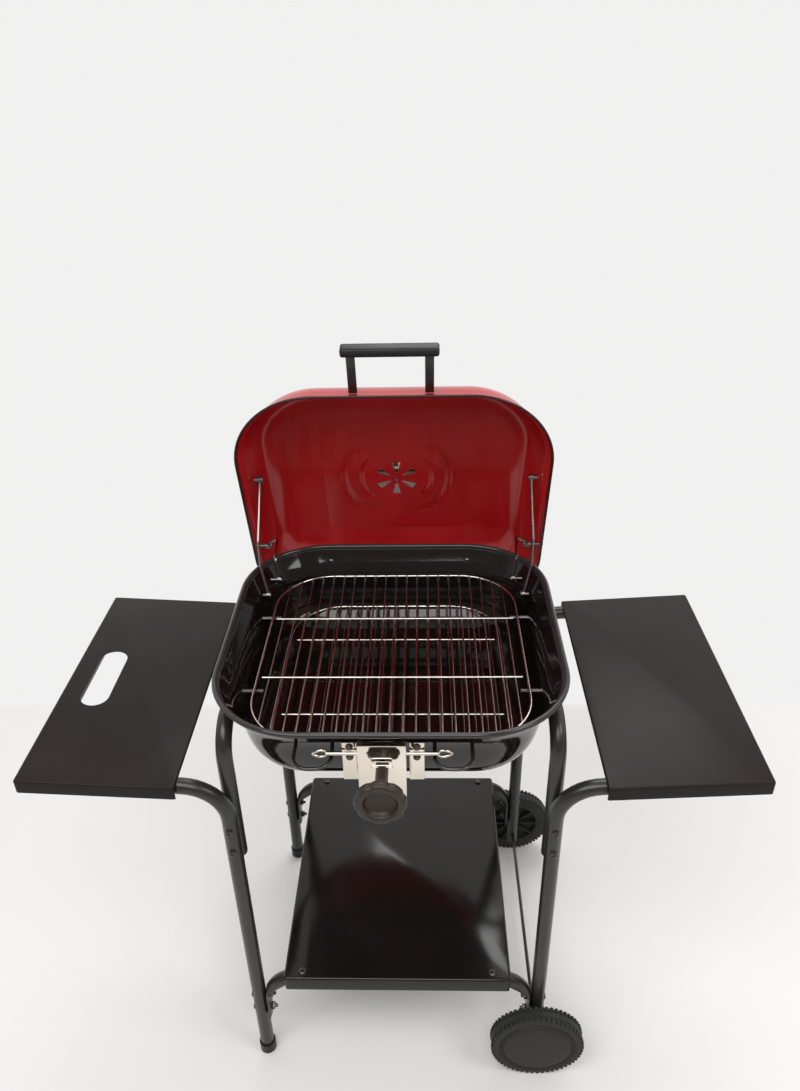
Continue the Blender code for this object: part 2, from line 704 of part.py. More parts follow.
def make_stays():
    """Two wires on each side: a long one in front and a short one that arches over the rim."""
    for side, name in ((-1, "left"), (1, "right")):
        make_stay(f"long_stay_{name}", side, LONG_BOWL_X, LONG_BOWL, LONG_LID,
                  ((LONG_BEND_X, 0.022, 0.038), (STAY_LID_X, 0.042, 0.075)))
        make_stay(f"short_stay_{name}", side, SHORT_BOWL_X, SHORT_BOWL, SHORT_LID,
                  ((SHORT_RISE_X, 0.002, 0.038), (SHORT_BEND_X, 0.060, 0.042), (STAY_LID_X, 0.078, 0.022)))


def make_grate(name, half_x, half_y, corner, height, wires, cross_x, cross_y):
    """Welded wire grate: round-cornered frame, wires front to back, two wires across on top."""
    frame_ring = rounded_ring(half_x, half_y, corner, height)
    count = len(frame_ring)
    rings = []
    for index, point in enumerate(frame_ring):
        ahead = (frame_ring[(index + 1) % count] - frame_ring[index - 1]).normalized()
        out = ahead.cross(Vector((0.0, 0.0, 1.0)))
        ring = []
        for side in range(4):
            angle = 2.0 * math.pi * (side + 0.5) / 4.0
            ring.append(point + out * (GRATE_FRAME_R * math.cos(angle))
                        + Vector((0.0, 0.0, GRATE_FRAME_R * math.sin(angle))))
        rings.append(ring)
    grate = add_object(name, loft(rings, closed=True), CHROME)
    bodies = []
    for index in range(1, wires + 1):
        x = -half_x + 2.0 * half_x * index / (wires + 1)
        reach = half_y
        edge = abs(x) - (half_x - corner)
        if edge > 0.0:
            reach = half_y - corner + math.sqrt(corner * corner - edge * edge)
        lift = height + 0.0004
        bodies.append(wire([Vector((x, -reach, lift)), Vector((x, reach, lift))], GRATE_WIRE_R, 4))
    for y in (-cross_y, cross_y):
        lift = height + 0.0023
        bodies.append(wire([Vector((-cross_x, y, lift)), Vector((cross_x, y, lift))], GRATE_WIRE_R, 4))
    combine(grate, bodies, "UNION")


def make_clamp():
    """Clamp set on the bowl's front: plate, lobed knob on a screw, two strips, rod and hooks."""
    back_y = PLATE_FRONT_Y + PLATE_DEPTH
    plate = add_object("clamp_plate", box((CLAMP_X - PLATE_HALF_W, PLATE_FRONT_Y, PLATE_BOTTOM_Z),
                                          (CLAMP_X + PLATE_HALF_W, back_y, PLATE_TOP_Z)), CHROME)
    hollow = box((CLAMP_X - PLATE_HALF_W + PLATE_T, PLATE_FRONT_Y + PLATE_T, PLATE_BOTTOM_Z - 0.01),
                 (CLAMP_X + PLATE_HALF_W - PLATE_T, back_y + 0.01, PLATE_TOP_Z - PLATE_T))
    hole = rod_between((CLAMP_X, PLATE_FRONT_Y - 0.01, KNOB_Z), (CLAMP_X, PLATE_FRONT_Y + 0.01, KNOB_Z),
                       PIN_R + GAP)
    combine(plate, [hollow, hole], "DIFFERENCE")
    make_knob()
    for x, name in zip(STRIP_X, ("left", "right")):
        add_object(f"clamp_strip_{name}", box((x - STRIP_W / 2.0, STRIP_Y, STRIP_BOTTOM_Z),
                                              (x + STRIP_W / 2.0, STRIP_Y + STRIP_T, STRIP_TOP_Z)),
                   CHROME)
    corners = [(CLAMP_X - ROD_HALF, ROD_WALL_Y, ROD_Z), (CLAMP_X - ROD_HALF, ROD_Y, ROD_Z),
               (CLAMP_X + ROD_HALF, ROD_Y, ROD_Z), (CLAMP_X + ROD_HALF, ROD_WALL_Y, ROD_Z)]
    add_object("clamp_rod", wire(fillet_path(corners, (0.006, 0.006), 4), ROD_R), CHROME)
    for side, name in ((-1, "left"), (1, "right")):
        x = CLAMP_X + side * HOOK_X
        corners = [(x - HOOK_HALF_W, HOOK_WALL_Y, HOOK_Z), (x - HOOK_HALF_W, HOOK_OUT_Y, HOOK_Z),
                   (x + HOOK_HALF_W, HOOK_OUT_Y, HOOK_Z), (x + HOOK_HALF_W, HOOK_WALL_Y, HOOK_Z)]
        add_object(f"front_hook_{name}", wire(fillet_path(corners, (0.020, 0.020), 6), HOOK_R),
                   DARK_STEEL)


def make_knob():
    """Lobed knob with a dished face and a long neck, and the screw that it turns."""
    axis = add_empty("knob_axis", (CLAMP_X, KNOB_FACE_Y, KNOB_Z))
    neck_end = PLATE_FRONT_Y - GAP - KNOB_FACE_Y
    stations = ((neck_end, KNOB_NECK_R, 0.0), (KNOB_T + 0.010, KNOB_NECK_R, 0.0),
                (KNOB_T, KNOB_R * 0.62, 0.3), (KNOB_T - 0.003, KNOB_R * 0.93, 1.0),
                (0.003, KNOB_R, 1.0), (0.0, KNOB_R * 0.95, 1.0), (0.0, KNOB_R * 0.70, 0.3),
                (0.007, KNOB_R * 0.55, 0.0), (0.008, KNOB_R * 0.25, 0.0))
    rings = []
    for along, radius, lobes in stations:
        ring = []
        for step in range(32):
            angle = 2.0 * math.pi * step / 32
            reach = radius * (1.0 - 0.055 * lobes * (1.0 - math.cos(KNOB_LOBES * angle)) / 2.0)
            ring.append(Vector((reach * math.cos(angle), along, reach * math.sin(angle))))
        rings.append(ring)
    knob = add_object("knob", loft(rings), BLACK_PLASTIC, axis)
    screw_start = neck_end - 0.030
    bore = rod_between((0.0, screw_start, 0.0), (0.0, neck_end + 0.01, 0.0), PIN_R + GAP)
    combine(knob, [bore], "DIFFERENCE")
    screw_end = SCREW_END_Y - KNOB_FACE_Y
    add_object("knob_screw", rod_between((0.0, screw_start + GAP, 0.0), (0.0, screw_end, 0.0), PIN_R),
               CHROME, axis)


def main():
    clear_scene()
    make_legs()
    make_table_arms()
    make_carriers()
    make_braces()
    make_tables()
    make_shelf()
    make_wheels()
    make_bowl()
    make_lid()
    make_stays()
    make_grate("cooking_grate", COOK_X, COOK_Y, COOK_CORNER, COOK_Z, COOK_WIRES, COOK_CROSS_X,
               COOK_CROSS_Y)
    make_grate("charcoal_grate", COAL_X, COAL_Y, COAL_CORNER, COAL_Z, COAL_WIRES, COAL_CROSS_X,
               COAL_CROSS_Y)
    make_clamp()


main()
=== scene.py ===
"""Looks of a charcoal trolley grill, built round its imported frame.

Each sub-assembly is a class whose dataclass fields are its sizes, in metres. Each finish is a
frozen dataclass that makes one procedural material. Geometry Nodes make the swept tubes and
wires, the grates, the screws and the wheels' treads. Places come from the frame's nodes and
joints, so every piece stands where the frame holds it.
"""

import json
import logging
import math
from dataclasses import dataclass, field
from enum import Enum
from typing import Any, Callable, Iterable, Sequence

import bmesh
import bpy
from mathutils import Matrix, Vector


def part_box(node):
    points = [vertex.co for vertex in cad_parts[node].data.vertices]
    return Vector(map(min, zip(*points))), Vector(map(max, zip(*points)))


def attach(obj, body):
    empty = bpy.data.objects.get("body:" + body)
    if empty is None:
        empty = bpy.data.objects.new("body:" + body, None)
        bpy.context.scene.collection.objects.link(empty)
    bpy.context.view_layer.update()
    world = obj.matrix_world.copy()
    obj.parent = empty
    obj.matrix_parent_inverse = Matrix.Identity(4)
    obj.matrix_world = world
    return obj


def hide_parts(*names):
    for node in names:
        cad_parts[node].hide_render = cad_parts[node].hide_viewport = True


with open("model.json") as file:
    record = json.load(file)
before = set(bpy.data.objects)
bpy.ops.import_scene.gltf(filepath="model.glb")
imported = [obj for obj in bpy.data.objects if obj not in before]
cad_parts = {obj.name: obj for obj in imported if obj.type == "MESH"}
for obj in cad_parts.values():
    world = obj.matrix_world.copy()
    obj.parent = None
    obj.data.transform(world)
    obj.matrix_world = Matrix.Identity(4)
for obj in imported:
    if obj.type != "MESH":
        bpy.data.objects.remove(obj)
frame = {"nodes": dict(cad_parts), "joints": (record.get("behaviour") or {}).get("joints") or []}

LOG = logging.getLogger("trolley_grill")
# The frame's tubes have eight sides: half their width over the flats is this share of their radius.
FACET = math.cos(math.pi / 8.0)
FULL_TURN = 2.0 * math.pi

Colour = tuple[float, float, float]
Rgba = tuple[float, float, float, float]
Chain = list[tuple[float, float]]
Seat = tuple[Sequence[float], Sequence[float]]
Place = Callable[[float, float, float], Vector]
Relief = Callable[[float, float], float]

PATCH_SCALE = 9.0
SCUFF_SCALE = 60.0
SPECK_SCALE = 1400.0
SPECK_COLOUR = (0.22, 0.21, 0.20, 1.0)
COAT_ROUGHNESS = 0.04
LEAST_ROUGHNESS = 0.02
BLACK = (0.0, 0.0, 0.0, 1.0)


# ---------------------------------------------------------------- node trees


class Value:
    """A number worked out by a node tree; arithmetic on it adds Math nodes."""

    def __init__(self, graph: "Graph", socket: bpy.types.NodeSocket) -> None:
        """Keep the socket that carries the number, and the graph it belongs to."""
        self.graph = graph
        self.socket = socket

    def __add__(self, other: "Operand") -> "Value":
        """Sum."""
        return self.graph.math("ADD", self, other)

    def __radd__(self, other: "Operand") -> "Value":
        """Sum with a plain number on the left."""
        return self.graph.math("ADD", other, self)

    def __sub__(self, other: "Operand") -> "Value":
        """Difference."""
        return self.graph.math("SUBTRACT", self, other)

    def __rsub__(self, other: "Operand") -> "Value":
        """Difference with a plain number on the left."""
        return self.graph.math("SUBTRACT", other, self)

    def __mul__(self, other: "Operand") -> "Value":
        """Product."""
        return self.graph.math("MULTIPLY", self, other)

    def __rmul__(self, other: "Operand") -> "Value":
        """Product with a plain number on the left."""
        return self.graph.math("MULTIPLY", other, self)

    def __truediv__(self, other: "Operand") -> "Value":
        """Quotient."""
        return self.graph.math("DIVIDE", self, other)

    def __neg__(self) -> "Value":
        """The number with its sign turned."""
        return self.graph.math("MULTIPLY", self, -1.0)

    def __abs__(self) -> "Value":
        """Size without sign."""
        return self.graph.math("ABSOLUTE", self)

    def at_least(self, other: "Operand") -> "Value":
        """The larger of the two."""
        return self.graph.math("MAXIMUM", self, other)

    def root(self) -> "Value":
        """Square root."""
        return self.graph.math("SQRT", self)

    def step(self, low: float, high: float) -> "Value":
        """Smooth step from 0 at low to 1 at high.

        Args:
            low: Where the step starts.
            high: Where the step ends.

        Returns:
            A number from 0 to 1.
        """
        node = self.graph.node("ShaderNodeMapRange", {"interpolation_type": "SMOOTHSTEP"},
                               {"Value": self, "From Min": low, "From Max": high})
        return Value(self.graph, node.outputs["Result"])


Operand = Value | float


class Graph:
    """A shader or geometry node tree and the one way that its nodes are made."""

    def __init__(self, tree: bpy.types.NodeTree) -> None:
        """Keep the tree that nodes are added to."""
        self.tree = tree

    def feed(self, socket: bpy.types.NodeSocket, value: Any) -> None:
        """Link a socket to a value, or set its constant.

        Args:
            socket: The input to fill.
            value: A Value, an output socket or a constant.
        """
        if isinstance(value, Value):
            value = value.socket
        if isinstance(value, bpy.types.NodeSocket):
            self.tree.links.new(value, socket)
        else:
            socket.default_value = value

    def node(self, kind: str, settings: dict[str, Any] | None = None,
             inputs: dict[str | int, Any] | None = None) -> bpy.types.Node:
        """Make a node.

        Args:
            kind: The node's type.
            settings: Its properties; "stops" gives a colour ramp's stops.
            inputs: Values or links for its sockets, by name or number.

        Returns:
            The new node.
        """
        node = self.tree.nodes.new(kind)
        for key, value in (settings or {}).items():
            if key == "stops":
                for spot, (position, colour) in zip(node.color_ramp.elements, value):
                    spot.position = position
                    spot.color = (*colour, 1.0)
            else:
                setattr(node, key, value)
        for key, value in (inputs or {}).items():
            self.feed(node.inputs[key], value)
        return node

    def math(self, operation: str, left: Operand, right: Operand = 0.0) -> Value:
        """Add a Math node.

        Args:
            operation: Its operation.
            left: First operand.
            right: Second operand.

        Returns:
            The result.
        """
        node = self.node("ShaderNodeMath", {"operation": operation}, {0: left, 1: right})
        return Value(self, node.outputs[0])

    def noise(self, place: bpy.types.NodeSocket, scale: float, detail: float = 2.0,
              rough: float = 0.5) -> Value:
        """Add a Noise Texture.

        Args:
            place: Coordinates.
            scale: Repeats per metre.
            detail: Octaves.
            rough: Strength of the finer octaves.

        Returns:
            The noise, about 0.5 on average.
        """
        node = self.node("ShaderNodeTexNoise", None,
                         {"Vector": place, "Scale": scale, "Detail": detail, "Roughness": rough})
        return Value(self, node.outputs[0])

    def blend(self, share: Operand, low: Any, high: Any) -> bpy.types.NodeSocket:
        """Mix two colours.

        Args:
            share: 0 for the first colour and 1 for the second.
            low: First colour.
            high: Second colour.

        Returns:
            The mixed colour's socket.
        """
        node = self.node("ShaderNodeMix", {"data_type": "RGBA"})
        for index, value in ((0, share), (6, low), (7, high)):
            self.feed(node.inputs[index], value)
        return node.outputs[2]

    def vector(self, x: Operand, y: Operand, z: Operand) -> bpy.types.NodeSocket:
        """Combine three numbers into a vector.

        Args:
            x: First part.
            y: Second part.
            z: Third part.

        Returns:
            The vector's socket.
        """
        return self.node("ShaderNodeCombineXYZ", None, {"X": x, "Y": y, "Z": z}).outputs[0]


# ---------------------------------------------------------------- finishes


class Grain(Enum):
    """Kinds of fine surface relief."""

    ORANGE_PEEL = "orange_peel"
    DRAWN = "drawn"
    MOULDED = "moulded"
    POLISHED = "polished"


def _rgba(colour: Colour) -> Rgba:
    """The colour with full opacity."""
    return (*colour, 1.0)


@dataclass(frozen=True)
class Finish:
    """One procedural finish.

    Attributes:
        name: The material's name.
        slot: The record's material slot.
        colour: Main colour.
        shade: Colour of its patches and worn spots.
        roughness: Mean roughness.
        spread: How far roughness varies.
        metallic: 0 for paint and plastic, 1 for bare metal.
        grain: Kind of relief.
        grain_scale: Relief repeats per metre.
        grain_depth: Depth of the relief in metres.
        coat: Weight of the clear coat.
        dust: Share of light specks.
        gloss: Specular level.
        mask: Attribute that marks where the tint shows, if any.
        tint: Colour where the mask is 1; on the bowl's rim it is a painted highlight and on the grate's
            long wires a painted reflection.
    """

    name: str
    slot: str
    colour: Colour
    shade: Colour
    roughness: float
    spread: float = 0.05
    metallic: float = 0.0
    grain: Grain = Grain.ORANGE_PEEL
    grain_scale: float = 400.0
    grain_depth: float = 0.00004
    coat: float = 0.0
    dust: float = 0.0
    gloss: float = 0.5
    mask: str = ""
    tint: Colour = (0.0, 0.0, 0.0)

    def _relief(self, graph: Graph, place: bpy.types.NodeSocket) -> Value:
        """Fine relief of this finish's grain.

        Args:
            graph: The material's graph.
            place: Object coordinates.

        Returns:
            Height from 0 to 1.
        """
        if self.grain is Grain.DRAWN:
            stretch = graph.node("ShaderNodeMapping", None,
                                 {"Vector": place, "Scale": (1.0, 0.12, 1.0)}).outputs[0]
            return graph.noise(stretch, self.grain_scale, 3.0, 0.6)
        if self.grain is Grain.MOULDED:
            cells = graph.node("ShaderNodeTexVoronoi", None,
                               {"Vector": place, "Scale": self.grain_scale})
            return Value(graph, cells.outputs["Distance"])
        if self.grain is Grain.POLISHED:
            return graph.noise(place, self.grain_scale, 1.0, 0.3)
        return graph.noise(place, self.grain_scale, 2.0, 0.4)

    def material(self) -> bpy.types.Material:
        """The finish as a material, made once.

        Returns:
            The material.
        """
        known = bpy.data.materials.get(self.name)
        if known is not None:
            return known
        material = bpy.data.materials.new(self.name)
        material.use_nodes = True
        graph = Graph(material.node_tree)
        shader = material.node_tree.nodes["Principled BSDF"]
        place = graph.node("ShaderNodeTexCoord").outputs["Object"]
        patches = graph.noise(place, PATCH_SCALE, 3.0)
        scuffs = graph.noise(place, SCUFF_SCALE, 4.0, 0.65)
        relief = self._relief(graph, place)
        share = patches.step(0.35, 0.75) * 0.7 + relief * 0.2
        colour = graph.blend(share, _rgba(self.colour), _rgba(self.shade))
        if self.dust > 0.0:
            specks = graph.noise(place, SPECK_SCALE, 1.0).step(0.70, 0.78) * self.dust
            colour = graph.blend(specks, colour, SPECK_COLOUR)
        if self.mask:
            marked = graph.node("ShaderNodeAttribute", {"attribute_name": self.mask}).outputs["Fac"]
            colour = graph.blend(Value(graph, marked), colour, _rgba(self.tint))
        rough = (scuffs - 0.5) * self.spread + (patches - 0.5) * self.spread + self.roughness
        graph.feed(shader.inputs["Base Color"], colour)
        graph.feed(shader.inputs["Roughness"], rough.at_least(LEAST_ROUGHNESS))
        graph.feed(shader.inputs["Normal"], graph.node(
            "ShaderNodeBump", None,
            {"Strength": 1.0, "Distance": self.grain_depth, "Height": relief}).outputs["Normal"])
        shader.inputs["Metallic"].default_value = self.metallic
        shader.inputs["Coat Weight"].default_value = self.coat
        shader.inputs["Coat Roughness"].default_value = COAT_ROUGHNESS
        shader.inputs["Specular IOR Level"].default_value = self.gloss
        return material


TUBE_PAINT = Finish("tube_paint", "painted_tube", (0.016, 0.016, 0.016), (0.026, 0.025, 0.024), 0.30,
                    0.10, grain_scale=650.0, grain_depth=0.00003, coat=0.05, dust=0.10, gloss=0.45)
TABLE_PAINT = Finish("table_paint", "painted_sheet", (0.014, 0.010, 0.008), (0.020, 0.015, 0.012), 0.33,
                     0.08, grain_scale=800.0, grain_depth=0.00003, dust=0.06, gloss=0.13)
SHELF_PAINT = Finish("shelf_paint", "painted_sheet", (0.008, 0.006, 0.005), (0.012, 0.009, 0.008), 0.12,
                     0.05, grain_scale=500.0, grain_depth=0.00002, dust=0.10, gloss=0.36)
# The bowl's rim band (the "edge" mask) gets a lighter grey tint, which is a painted highlight along the
# rolled rim.
BLACK_ENAMEL = Finish("bowl_black_enamel", "bowl_enamel", (0.004, 0.003, 0.003), (0.008, 0.006, 0.005),
                      0.08, 0.03, grain_scale=170.0, grain_depth=0.00003, coat=0.08, dust=0.04, gloss=0.40,
                      mask="edge", tint=(0.028, 0.027, 0.026))
RED_ENAMEL = Finish("lid_red_enamel", "lid_enamel", (0.42, 0.007, 0.009), (0.32, 0.005, 0.007), 0.17,
                    0.06, grain_scale=150.0, grain_depth=0.00003, coat=0.15, dust=0.04, gloss=0.35,
                    mask="edge", tint=(0.030, 0.004, 0.006))
CHROME = Finish("chrome_plating", "chrome_plate", (0.80, 0.74, 0.65), (0.66, 0.59, 0.50), 0.07, 0.06,
                1.0, Grain.POLISHED, 260.0, 0.00002)
STAY_STEEL = Finish("stay_steel", "stay_wire", (0.20, 0.19, 0.185), (0.12, 0.11, 0.105), 0.26, 0.12,
                    1.0, Grain.DRAWN, 900.0, 0.00002)
# The grate's long wires get a darker pink-brown tint, which is a painted reflection of the red lid.
GRATE_STEEL = Finish("grate_steel", "grate_wire", (0.74, 0.72, 0.69), (0.55, 0.51, 0.47), 0.16, 0.12,
                     1.0, Grain.DRAWN, 700.0, 0.00003, mask="warm", tint=(0.36, 0.29, 0.26))
SCREW_STEEL = Finish("blackened_steel", "black_screws", (0.060, 0.057, 0.055), (0.095, 0.090, 0.086),
                     0.26, 0.14, 0.75, Grain.POLISHED, 900.0, 0.00003)
KNOB_PLASTIC = Finish("knob_phenolic", "black_plastic", (0.024, 0.016, 0.011), (0.036, 0.025, 0.018),
                      0.42, 0.12, grain=Grain.MOULDED, grain_scale=1500.0, grain_depth=0.00005, dust=0.08,
                      gloss=0.35)
GRIP_PLASTIC = Finish("grip_plastic", "black_plastic", (0.010, 0.010, 0.012), (0.018, 0.018, 0.020),
                      0.36, 0.10, grain=Grain.MOULDED, grain_scale=1300.0, grain_depth=0.00004, dust=0.05,
                      gloss=0.25)
WHEEL_PLASTIC = Finish("wheel_plastic", "wheel_plastic", (0.020, 0.017, 0.015), (0.038, 0.032, 0.029),
                       0.38, 0.12, grain=Grain.MOULDED, grain_scale=1100.0, grain_depth=0.00005, dust=0.18,
                       gloss=0.5)


# ---------------------------------------------------------------- meshes


def link_mesh(name: str, mesh: bpy.types.Mesh) -> bpy.types.Object:
    """Put a mesh in the scene as an object at the origin.

    Args:
        name: The object's name.
        mesh: Its mesh.

    Returns:
        The object.
    """
    obj = bpy.data.objects.new(name, mesh)
    bpy.context.scene.collection.objects.link(obj)
    return obj


def to_object(name: str, bm: bmesh.types.BMesh, face_out: bool = True) -> bpy.types.Object:
    """Turn a bmesh into an object at the origin.

    Args:
        name: The object's name.
        bm: The shape; it is freed.
        face_out: Whether to turn its faces outwards.

    Returns:
        The object.
    """
    if face_out:
        bmesh.ops.recalc_face_normals(bm, faces=bm.faces)
    mesh = bpy.data.meshes.new(name)
    bm.to_mesh(mesh)
    bm.free()
    return link_mesh(name, mesh)


def bake(obj: bpy.types.Object) -> bpy.types.Object:
    """Apply the object's modifiers and clear them.

    Args:
        obj: A mesh object.

    Returns:
        The same object, as a plain mesh.
    """
    graph = bpy.context.evaluated_depsgraph_get()
    result = bpy.data.meshes.new_from_object(obj.evaluated_get(graph))
    obj.modifiers.clear()
    old = obj.data
    obj.data = result
    bpy.data.meshes.remove(old)
    result.name = obj.name
    return obj


def settle(obj: bpy.types.Object, body: str, finish: Finish, replaces: Iterable[str] = (),
           sharp_deg: float = 35.0) -> bpy.types.Object:
    """Shade, dress and attach a finished piece.

    Args:
        obj: The piece, at the origin.
        body: The body that it moves with.
        finish: Its finish.
        replaces: Frame nodes that it stands for.
        sharp_deg: Edges sharper than this stay sharp.

    Returns:
        The piece.
    """
    obj.data.shade_smooth()
    obj.data.set_sharp_from_angle(angle=math.radians(sharp_deg))
    obj.data.materials.clear()
    obj.data.materials.append(finish.material())
    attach(obj, body)
    nodes = list(replaces)
    if nodes:
        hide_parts(*nodes)
    LOG.info("%s rides on %s", obj.name, body)
    return obj


def dress(nodes: Iterable[str], finish: Finish) -> None:
    """Give frame nodes that stay as they are their finish.

    Args:
        nodes: Names of the nodes.
        finish: The finish.
    """
    for name in nodes:
        node = frame["nodes"][name]
        node.data.materials.clear()
        node.data.materials.append(finish.material())
        LOG.info("%s dressed in %s", name, finish.name)


def boolean(obj: bpy.types.Object, tool: bmesh.types.BMesh, operation: str) -> bpy.types.Object:
    """Cut or join a closed shape into an object.

    Args:
        obj: The object to change.
        tool: The other shape; it is freed.
        operation: "DIFFERENCE" or "UNION".

    Returns:
        The same object.
    """
    other = to_object(f"{obj.name}_tool", tool)
    modifier = obj.modifiers.new("tool", "BOOLEAN")
    modifier.operation = operation
    modifier.solver = "EXACT"
    modifier.object = other
    bake(obj)
    bpy.data.objects.remove(other, do_unlink=True)
    return obj


def soften(obj: bpy.types.Object, width: float, segments: int = 2, angle_deg: float = 40.0) -> None:
    """Round an object's sharp edges with a Bevel modifier and apply it.

    Args:
        obj: The object.
        width: Width of the rounding.
        segments: Steps across it.
        angle_deg: Only edges sharper than this are rounded.
    """
    modifier = obj.modifiers.new("soften", "BEVEL")
    modifier.width = width
    modifier.segments = segments
    modifier.limit_method = "ANGLE"
    modifier.angle_limit = math.radians(angle_deg)
    bake(obj)


def box(low: Sequence[float], high: Sequence[float]) -> bmesh.types.BMesh:
    """A box between two corners.

    Args:
        low: Its lowest corner.
        high: Its highest corner.

    Returns:
        The box.
    """
    bm = bmesh.new()
    bmesh.ops.create_cube(bm, size=1.0)
    low, high = Vector(low), Vector(high)
    for vert in bm.verts:
        share = vert.co + Vector((0.5, 0.5, 0.5))
        vert.co = low + Vector(a * b for a, b in zip(share, high - low))
    return bm


def loft(rings: Sequence[Sequence[Vector]], closed: bool = False,
         into: bmesh.types.BMesh | None = None) -> bmesh.types.BMesh:
    """Skin rings of points.

    Args:
        rings: Rings with the same number of points.
        closed: Join the last ring to the first; otherwise both ends get a cap.
        into: A bmesh to add to.

    Returns:
        The bmesh.
    """
    bm = into or bmesh.new()
    loops = [[bm.verts.new(point) for point in ring] for ring in rings]
    count = len(loops[0])
    pairs = list(zip(loops, loops[1:]))
    if closed:
        pairs.append((loops[-1], loops[0]))
    for one, two in pairs:
        for i in range(count):
            j = (i + 1) % count
            bm.faces.new((one[i], one[j], two[j], two[i]))
    if not closed:
        bm.faces.new(list(reversed(loops[0])))
        bm.faces.new(loops[-1])
    return bm


def chaikin(points: Chain, rounds: int) -> Chain:
    """Round an open chain's corners by cutting them, ends kept.

    Args:
        points: The chain.
        rounds: How often its corners are cut.

    Returns:
        The smoother chain.
    """
    for _ in range(rounds):
        cut = [points[0]]
        for (ax, ay), (bx, by) in zip(points, points[1:]):
            cut.append((0.75 * ax + 0.25 * bx, 0.75 * ay + 0.25 * by))
            cut.append((0.25 * ax + 0.75 * bx, 0.25 * ay + 0.75 * by))
        cut.append(points[-1])
        points = cut
    return points


def offset(points: Chain, distance: float) -> Chain:
    """Shift a chain sideways.

    Args:
        points: The chain.
        distance: How far it goes to its left.

    Returns:
        The shifted chain.
    """
    moved = []
    for index, (x, y) in enumerate(points):
        ax, ay = points[max(index - 1, 0)]
        bx, by = points[min(index + 1, len(points) - 1)]
        length = math.hypot(bx - ax, by - ay)
        moved.append((x - (by - ay) / length * distance, y + (bx - ax) / length * distance))
    return moved


def outline(half_x: float, half_y: float, corner: float, arc_steps: int = 12,
            side_steps: int = 1) -> Chain:
    """Rounded rectangle.

    Args:
        half_x: Half its width.
        half_y: Half its depth.
        corner: Corner radius.
        arc_steps: Steps round each corner.
        side_steps: Steps along each straight side.

    Returns:
        Its points, anticlockwise.
    """
    arcs = []
    for quarter in range(4):
        cx = (half_x - corner) * (1 if quarter in (0, 3) else -1)
        cy = (half_y - corner) * (1 if quarter in (0, 1) else -1)
        turns = [math.pi / 2.0 * (quarter + step / arc_steps) for step in range(arc_steps + 1)]
        arcs.append([(cx + corner * math.cos(a), cy + corner * math.sin(a)) for a in turns])
    points = []
    for arc, following in zip(arcs, arcs[1:] + arcs[:1]):
        points.extend(arc)
        (ax, ay), (bx, by) = arc[-1], following[0]
        for step in range(1, side_steps):
            share = step / side_steps
            points.append((ax + (bx - ax) * share, ay + (by - ay) * share))
    return points


def turned(profile: Chain, steps: int, origin: Vector, axis: Vector) -> bmesh.types.BMesh:
    """Turn a closed profile about an axis.

    Args:
        profile: Points of (radius, distance along the axis).
        steps: Steps round.
        origin: A point on the axis, at distance 0.
        axis: The axis's direction.

    Returns:
        The ring-shaped body.
    """
    axis = axis.normalized()
    right = axis.orthogonal().normalized()
    up = axis.cross(right)
    rings = []
    for step in range(steps):
        angle = FULL_TURN * step / steps
        spoke = right * math.cos(angle) + up * math.sin(angle)
        rings.append([origin + spoke * radius + axis * along for radius, along in profile])
    return loft(rings, closed=True)


def ring_wire(name: str, loop: Sequence[Vector], radius: float, sides: int = 10) -> bpy.types.Object:
    """Bend a round wire into a closed loop that lies about upright along X.

    Args:
        name: The object's name.
        loop: Points of its centre line.
        radius: Radius of the wire.
        sides: Sides of its section.

    Returns:
        The object.
    """
    turns = [FULL_TURN * side / sides for side in range(sides)]
    rings = []
    for index, spot in enumerate(loop):
        ahead = (loop[(index + 1) % len(loop)] - loop[index - 1]).normalized()
        out = ahead.cross(Vector((0.0, 1.0, 0.0))).normalized()
        rings.append([spot + out * (radius * math.cos(a)) + Vector((0.0, radius * math.sin(a), 0.0))
                      for a in turns])
    return to_object(name, loft(rings, closed=True))


def centre_of(node: str) -> Vector:
    """Middle of a frame node's box."""
    low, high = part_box(node)
    return (low + high) / 2.0


def joint(name: str) -> dict[str, Any]:
    """A joint of the frame by its name."""
    return next(j for j in frame["joints"] if j["name"] == name)


# ---------------------------------------------------------------- geometry node trees


